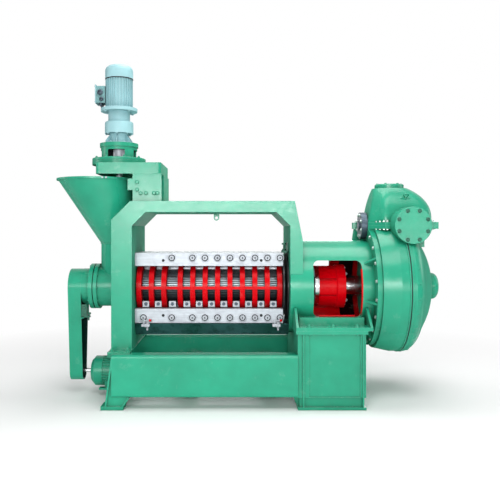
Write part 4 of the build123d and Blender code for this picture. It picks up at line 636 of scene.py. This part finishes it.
bm = bmesh.new()
for way in SIDES:
    near, far = sorted((way * 0.087, way * 0.095))
    block(bm, (-0.49, near, 0.967), (0.35, far, 0.981), 0.0015)
piece("cage_keeper_strips", bm, "machined_steel")

# Screw clips that hold the tray to the lower clamp bars, with red knobs
bm = bmesh.new()
red_bm = bmesh.new()
clip_near, clip_far, clip_axis_y = 0.204, 0.238, 0.226
clip_bottom, clip_top, handle_z = 0.546, 0.5665, 0.592
for clip_x in (-0.668, 0.31):
    for way in SIDES:
        near, far = sorted((way * clip_near, way * clip_far))
        axis_y = way * clip_axis_y
        block(bm, (clip_x - 0.03, near, clip_bottom), (clip_x + 0.03, far, clip_top))
        disc(bm, (clip_x - 0.012, axis_y, clip_top), UP, 0.006, 0.03)
        bolt(bm, (clip_x + 0.014, axis_y, clip_top), UP, 0.011)
        bolt(bm, (clip_x, way * clip_far, 0.556), (0, way, 0), 0.0095)
        tube(bm, [(clip_x - 0.05, axis_y, 0.588), (clip_x + 0.025, axis_y, handle_z)], 0.0045)
        lathe(bm, (clip_x + 0.012, way * 0.222, clip_bottom), DOWN,
              [(0, 0), (0.008, 0), (0.008, 0.028), (0, 0.03)], 14)
        lathe(red_bm, (clip_x + 0.024, axis_y, handle_z), RIGHT,
              [(0, 0), (0.009, 0.001), (0.0095, 0.01), (0.008, 0.018), (0, 0.02)], 16)
piece("tray_clips", bm, "machined_steel")
piece("tray_clip_knobs", red_bm, "red_enamel")

# Adjuster between the cage and the right post: an angle and its screw
bm = bmesh.new()
angle_front, angle_back, angle_bottom, angle_floor = -0.19, -0.11, 1.098, 1.112
post_x, screw_x, screw_y = 0.404, 0.372, -0.15
block(bm, (0.352, angle_front, angle_bottom), (post_x, angle_back, angle_floor))
block(bm, (post_x - 0.012, angle_front, angle_bottom), (post_x, angle_back, 1.172))
lathe(bm, (screw_x, screw_y, angle_bottom - 0.003), UP,
      [(0, 0), (0.008, 0), (0.008, 0.062), (0.018, 0.062), (0.018, 0.074), (0, 0.076)], 18)
bolt(bm, (screw_x, screw_y, angle_floor), UP, 0.015)
piece("cage_adjuster", bm, "dark_bolt")

bm = bmesh.new()
wedge_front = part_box("wedge_blocks")[0].y
for left, right in zip(rib_x, rib_x[1:]):
    lathe(bm, ((left + right) / 2, wedge_front, 0.706), (0, -1, 0),
          [(0.0, 0), (0.0125, 0), (0.0125, 0.006), (0.011, 0.0075), (0.006, 0.0075), (0.006, 0.003),
           (0.0, 0.003)], 20)
piece("wedge_screws", bm, "blued_steel")

# Bolts on the coupling's flange, which turn with the press line
bm = bmesh.new()
bolts(bm, circle((COUPLING_RIGHT, 0, SHAFT_Z), RIGHT, 0.142, 8), RIGHT, 0.013, 0.006)
piece("coupling_bolts", bm, "machined_steel", "press_line")

# Red lips of the housing's window: a bar behind the coupling, the right edge and the sill
bm = bmesh.new()
block(bm, (0.572, 0.284, 0.622), (0.782, 0.3, 0.668), 0.003)
lip_radius, sill_z, edge_x = 0.349, 0.6335, 0.931
arc = [radians(a) for a in range(-33, 27, 2)]
tube(bm, [(edge_x, -lip_radius * cos(a), SHAFT_Z + lip_radius * sin(a)) for a in arc], 0.0095)
sill_y = -sqrt(lip_radius ** 2 - (sill_z - SHAFT_Z) ** 2)
tube(bm, [(0.62, sill_y, sill_z), (0.885, sill_y, sill_z)], 0.0075)
piece("window_lips", bm, "red_enamel")

# Bright ring on the coupling's sleeve, which turns with the press line
bm = bmesh.new()
sleeve_radius, ring_radius = 0.154, 0.1585
lathe(bm, (COUPLING_LEFT - 0.002, 0, SHAFT_Z), RIGHT,
      [(0.0812, 0), (sleeve_radius, 0), (ring_radius, 0.003), (ring_radius, 0.032), (0.1575, 0.034),
       (0.1565, 0.034)], 72)
piece("coupling_ring", bm, "bright_shaft", "press_line")

# Feeder: a flange ring with its bolts under the lantern, and small screws under its top
lantern_low, lantern_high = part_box("feeder_lantern")
lantern_floor = lantern_low.z + 0.029
ring_inner, ring_outer, ring_height, ring_round = 0.139, 0.2055, 0.022, 0.002
bm = bmesh.new()
lathe(bm, (FEEDER_X, 0, lantern_floor), UP,
      [(ring_inner, 0), (ring_outer - ring_round, 0), (ring_outer, ring_round),
       (ring_outer, ring_height - ring_round), (ring_outer - ring_round, ring_height),
       (ring_inner, ring_height)], 96)
ring_top = (FEEDER_X, 0, lantern_floor + ring_height)
bolts(bm, circle(ring_top, UP, 0.176, 8, HALF_STEP_OF_EIGHT), UP, 0.0125, 0.006)
under_top = (FEEDER_X, 0, lantern_high.z - 0.03)
bolts(bm, circle(under_top, DOWN, 0.142, 8, HALF_STEP_OF_EIGHT), DOWN, 0.005, washer=False)
piece("lantern_bolts", bm, "green_enamel")

bm = bmesh.new()
reducer_low, reducer_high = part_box("feeder_reducer")
for height, axis, radius, count, first, size in (
        (reducer_low.z + 0.01, UP, 0.098, 6, 0.0, 0.0085),
        (reducer_low.z + 0.079, DOWN, 0.1, 8, 0.0, 0.0085),
        (reducer_high.z - 0.025, DOWN, 0.127, 4, 45.0, 0.0095)):
    bolts(bm, circle((FEEDER_X, 0, height), axis, radius, count, first), axis, size)
piece("reducer_bolts", bm, "grey_blue_enamel")

bm = bmesh.new()
cheek_y, low_row_z = 0.26, 1.541
support_places = [(-0.727, 1.623), (-0.727, 1.567)]
support_places += [(bolt_x, low_row_z) for bolt_x in (-0.7, -0.66, -0.6, -0.575)]
for bolt_x, bolt_z in support_places:
    for side in SIDES:
        bolt(bm, (bolt_x, side * cheek_y, bolt_z), (0, side, 0), 0.011)
piece("support_bolts", bm, "green_enamel")

# Terminal box: cable glands and a lid with four screws
bm = bmesh.new()
box_low, box_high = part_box("feeder_terminal_box")
gland_x = -1.044
gland_profile = [(0, 0), (0.022, 0), (0.022, 0.008), (0.017, 0.01), (0.017, 0.022), (0.0115, 0.024),
                 (0.0115, 0.014), (0, 0.014)]


def gland(place, axis, share):
    lathe(bm, place, axis, [(share * r, h) for r, h in gland_profile], 20)


for side_x, side_z, share in ((gland_x, 2.334, 1.0), (gland_x + 0.01, 2.282, 0.75)):
    for way in SIDES:
        gland((side_x, way * 0.055, side_z), (0, way, 0), share)
for gland_y in (-0.028, 0.028):
    gland((gland_x, gland_y, box_low.z), DOWN, 0.7)
piece("terminal_glands", bm, "blued_steel")
bm = bmesh.new()
lid_face = box_low.x - 0.007
block(bm, (lid_face, -0.06, box_low.z - 0.005), (box_low.x, 0.06, box_high.z + 0.012))
for bolt_y in (-0.048, 0.048):
    for bolt_z in (box_low.z + 0.01, box_high.z - 0.004):
        bolt(bm, (lid_face, bolt_y, bolt_z), LEFT, 0.005, washer=False)
piece("terminal_lid", bm, "grey_blue_enamel")

# Fan cowl: the seam at its foot, and dark air rings on its top that paint the shade in its slots
bm = bmesh.new()
cowl_low, cowl_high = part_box("feeder_fan_cowl")
lathe(bm, (FEEDER_X, 0, cowl_low.z - 0.005), UP,
      [(0.1, 0), (0.1084, 0), (0.1084, 0.006), (0.1, 0.006)], 72)
vent_sunk, vent_height, vent_width = 0.001, 0.00102, 0.006
for vent in (0.02, 0.032, 0.044, 0.056):
    lathe(bm, (FEEDER_X, 0, cowl_high.z - vent_sunk), UP,
          [(vent, 0), (vent, vent_height), (vent + vent_width, vent_height),
           (vent + vent_width, 0)], 48)
piece("cowl_seam_and_vents", bm, "dark_gap")

# Weld beads at the column feet, under the feeder's support and round the neck
bm = bmesh.new()
foot_z, foot_bead = 0.3975, 0.004
for side in SIDES:
    weld(bm, (-0.904, side * 0.342, foot_z), (-0.753, side * 0.342, foot_z), foot_bead)
    for edge_x in (-0.9055, -0.7515):
        weld(bm, (edge_x, side * 0.34, foot_z), (edge_x, side * 0.26, foot_z), foot_bead)
    weld(bm, (-0.76, side * 0.2615, 1.4815), (-0.546, side * 0.2615, 1.4815), 0.0035)
ring_weld(bm, (FEEDER_X, 0, 1.166), UP, 0.1385, 0.004)
piece("weld_beads", bm, "green_enamel")

# Clamp on the belt guard's bracket
bm = bmesh.new()
plate_front, ledge_x, ledge_y, ledge_bottom, ledge_top = -0.128, -1.118, -0.115, 0.6, 0.612
block(bm, (-1.172, plate_front, 0.609), (-1.13, -0.1, 0.7))
block(bm, (-1.176, -0.129, ledge_bottom), (-1.105, -0.1, ledge_top))
for bolt_z in (0.636, 0.676):
    bolt(bm, (-1.15, plate_front, bolt_z), (0, -1, 0), 0.009)
disc(bm, (ledge_x, ledge_y, ledge_bottom), DOWN, 0.006, 0.022)
bolt(bm, (ledge_x, ledge_y, ledge_top), UP, 0.01)
piece("guard_bracket_screws", bm, "dark_bolt")

# Two screws in the hopper's rim, beside the feeder
bm = bmesh.new()
rim_x, rim_outer = -1.083, 0.303
rim_screw_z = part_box("hopper")[1].z - 0.007
for bolt_x in (-0.98, -0.955):
    rim_y = -sqrt(rim_outer ** 2 - (bolt_x - rim_x) ** 2)
    outward = Vector((bolt_x - rim_x, rim_y, 0)).normalized()
    bolt(bm, (bolt_x, rim_y, rim_screw_z), outward, 0.008, washer=False)
piece("hopper_rim_screws", bm, "machined_steel")

# Stage: a pale floor that fades to the white backdrop
FADE_START, FADE_END, FLOOR_RADIUS = 1.6, 4.0, 40.0
WHITE = (1.0, 1.0, 1.0, 1.0)
PAPER = (0.96, 0.96, 0.96, 1.0)
floor_graph = Graph("floor_paper")
floor_graph.tree.nodes.remove(floor_graph.shader)
spread = floor_graph.new("ShaderNodeVectorMath", operation="LENGTH")
floor_graph.link(floor_graph.coords, spread.inputs[0])
fade = floor_graph.remap(spread.outputs["Value"], FADE_START, FADE_END)
paper = floor_graph.new("ShaderNodeBsdfDiffuse")
paper.inputs["Color"].default_value = PAPER
white = floor_graph.new("ShaderNodeEmission")
path = floor_graph.new("ShaderNodeLightPath")
blend = floor_graph.new("ShaderNodeMixShader")
floor_graph.link(floor_graph.math("MULTIPLY", fade, path.outputs["Is Camera Ray"]), blend.inputs[0])
floor_graph.link(paper.outputs[0], blend.inputs[1])
floor_graph.link(white.outputs[0], blend.inputs[2])
floor_graph.link(blend.outputs[0], floor_graph.output.inputs[0])
bm = bmesh.new()
bmesh.ops.create_circle(bm, cap_ends=True, radius=FLOOR_RADIUS, segments=64)
floor_mesh = bpy.data.meshes.new("floor")
bm.to_mesh(floor_mesh)
bm.free()
floor_mesh.materials.append(floor_graph.material)
floor = bpy.data.objects.new("floor", floor_mesh)
floor.location.z = -0.001
bpy.context.scene.collection.objects.link(floor)


def softbox(name, place, target, width, height, power):
    light = bpy.data.lights.new(name, "AREA")
    light.shape = "RECTANGLE"
    light.size = width
    light.size_y = height
    light.energy = power
    lamp = bpy.data.objects.new(name, light)
    lamp.location = place
    lamp.rotation_euler = (Vector(target) - Vector(place)).to_track_quat("-Z", "Y").to_euler()
    bpy.context.scene.collection.objects.link(lamp)


# Soft light: name, place, what it points at, width, height, watts
MIDDLE = (0.0, 0.0, 0.9)
softbox("high_strip", (-0.35, -5.7, 1.67), (-0.2, 0.0, 1.6), 3.0, 0.3, 105.0)
softbox("feeder_card", (-1.7, -5.7, 2.2), (-0.8, 0.0, 1.8), 1.3, 0.5, 24.0)
softbox("front_panel", (0.3, -6.6, 1.05), (0.2, 0.0, 0.9), 9.0, 1.1, 165.0)
softbox("top_box", (0.7, -3.0, 4.9), MIDDLE, 3.4, 2.0, 110.0)
softbox("sky_panel", (0.5, 0.3, 5.0), (0.5, 0.2, 0.9), 3.6, 2.4, 130.0)
softbox("back_fill", (0.6, 6.5, 2.9), MIDDLE, 4.5, 2.2, 115.0)
softbox("left_fill", (-6.0, 1.0, 2.4), MIDDLE, 2.5, 2.0, 45.0)
softbox("right_fill", (6.4, 1.0, 2.4), MIDDLE, 2.5, 2.0, 45.0)

# World: a dim room that camera, glossy and transmission rays see as a white backdrop
ROOM_STRENGTH = 0.18
world = bpy.data.worlds.new("studio")
bpy.context.scene.world = world
world.use_nodes = True
tree = world.node_tree
tree.nodes.clear()
world_out = tree.nodes.new("ShaderNodeOutputWorld")
room = tree.nodes.new("ShaderNodeBackground")
room.inputs["Color"].default_value = WHITE
room.inputs["Strength"].default_value = ROOM_STRENGTH
backdrop = tree.nodes.new("ShaderNodeBackground")
backdrop.inputs["Color"].default_value = WHITE
ray = tree.nodes.new("ShaderNodeLightPath")
world_mix = tree.nodes.new("ShaderNodeMixShader")
seen = ray.outputs["Is Camera Ray"]
for kind in ("Is Glossy Ray", "Is Transmission Ray"):
    either = tree.nodes.new("ShaderNodeMath")
    either.operation = "MAXIMUM"
    tree.links.new(seen, either.inputs[0])
    tree.links.new(ray.outputs[kind], either.inputs[1])
    seen = either.outputs[0]
tree.links.new(seen, world_mix.inputs[0])
tree.links.new(room.outputs[0], world_mix.inputs[1])
tree.links.new(backdrop.outputs[0], world_mix.inputs[2])
tree.links.new(world_mix.outputs[0], world_out.inputs[0])

# Camera: level, 5 m in front of the press axis and above the middle of the base
camera_data = bpy.data.cameras.new("camera")
camera_data.sensor_width = 36.0
camera_data.lens = 46.0
camera_data.shift_x = 0.03
camera_data.shift_y = -0.04
camera = bpy.data.objects.new("camera", camera_data)
camera.location = (0.0, -5.0, 1.268)
camera.rotation_euler = (radians(90.0), 0.0, 0.0)
bpy.context.scene.collection.objects.link(camera)
bpy.context.scene.camera = camera
bpy.context.scene.view_settings.view_transform = "Standard"
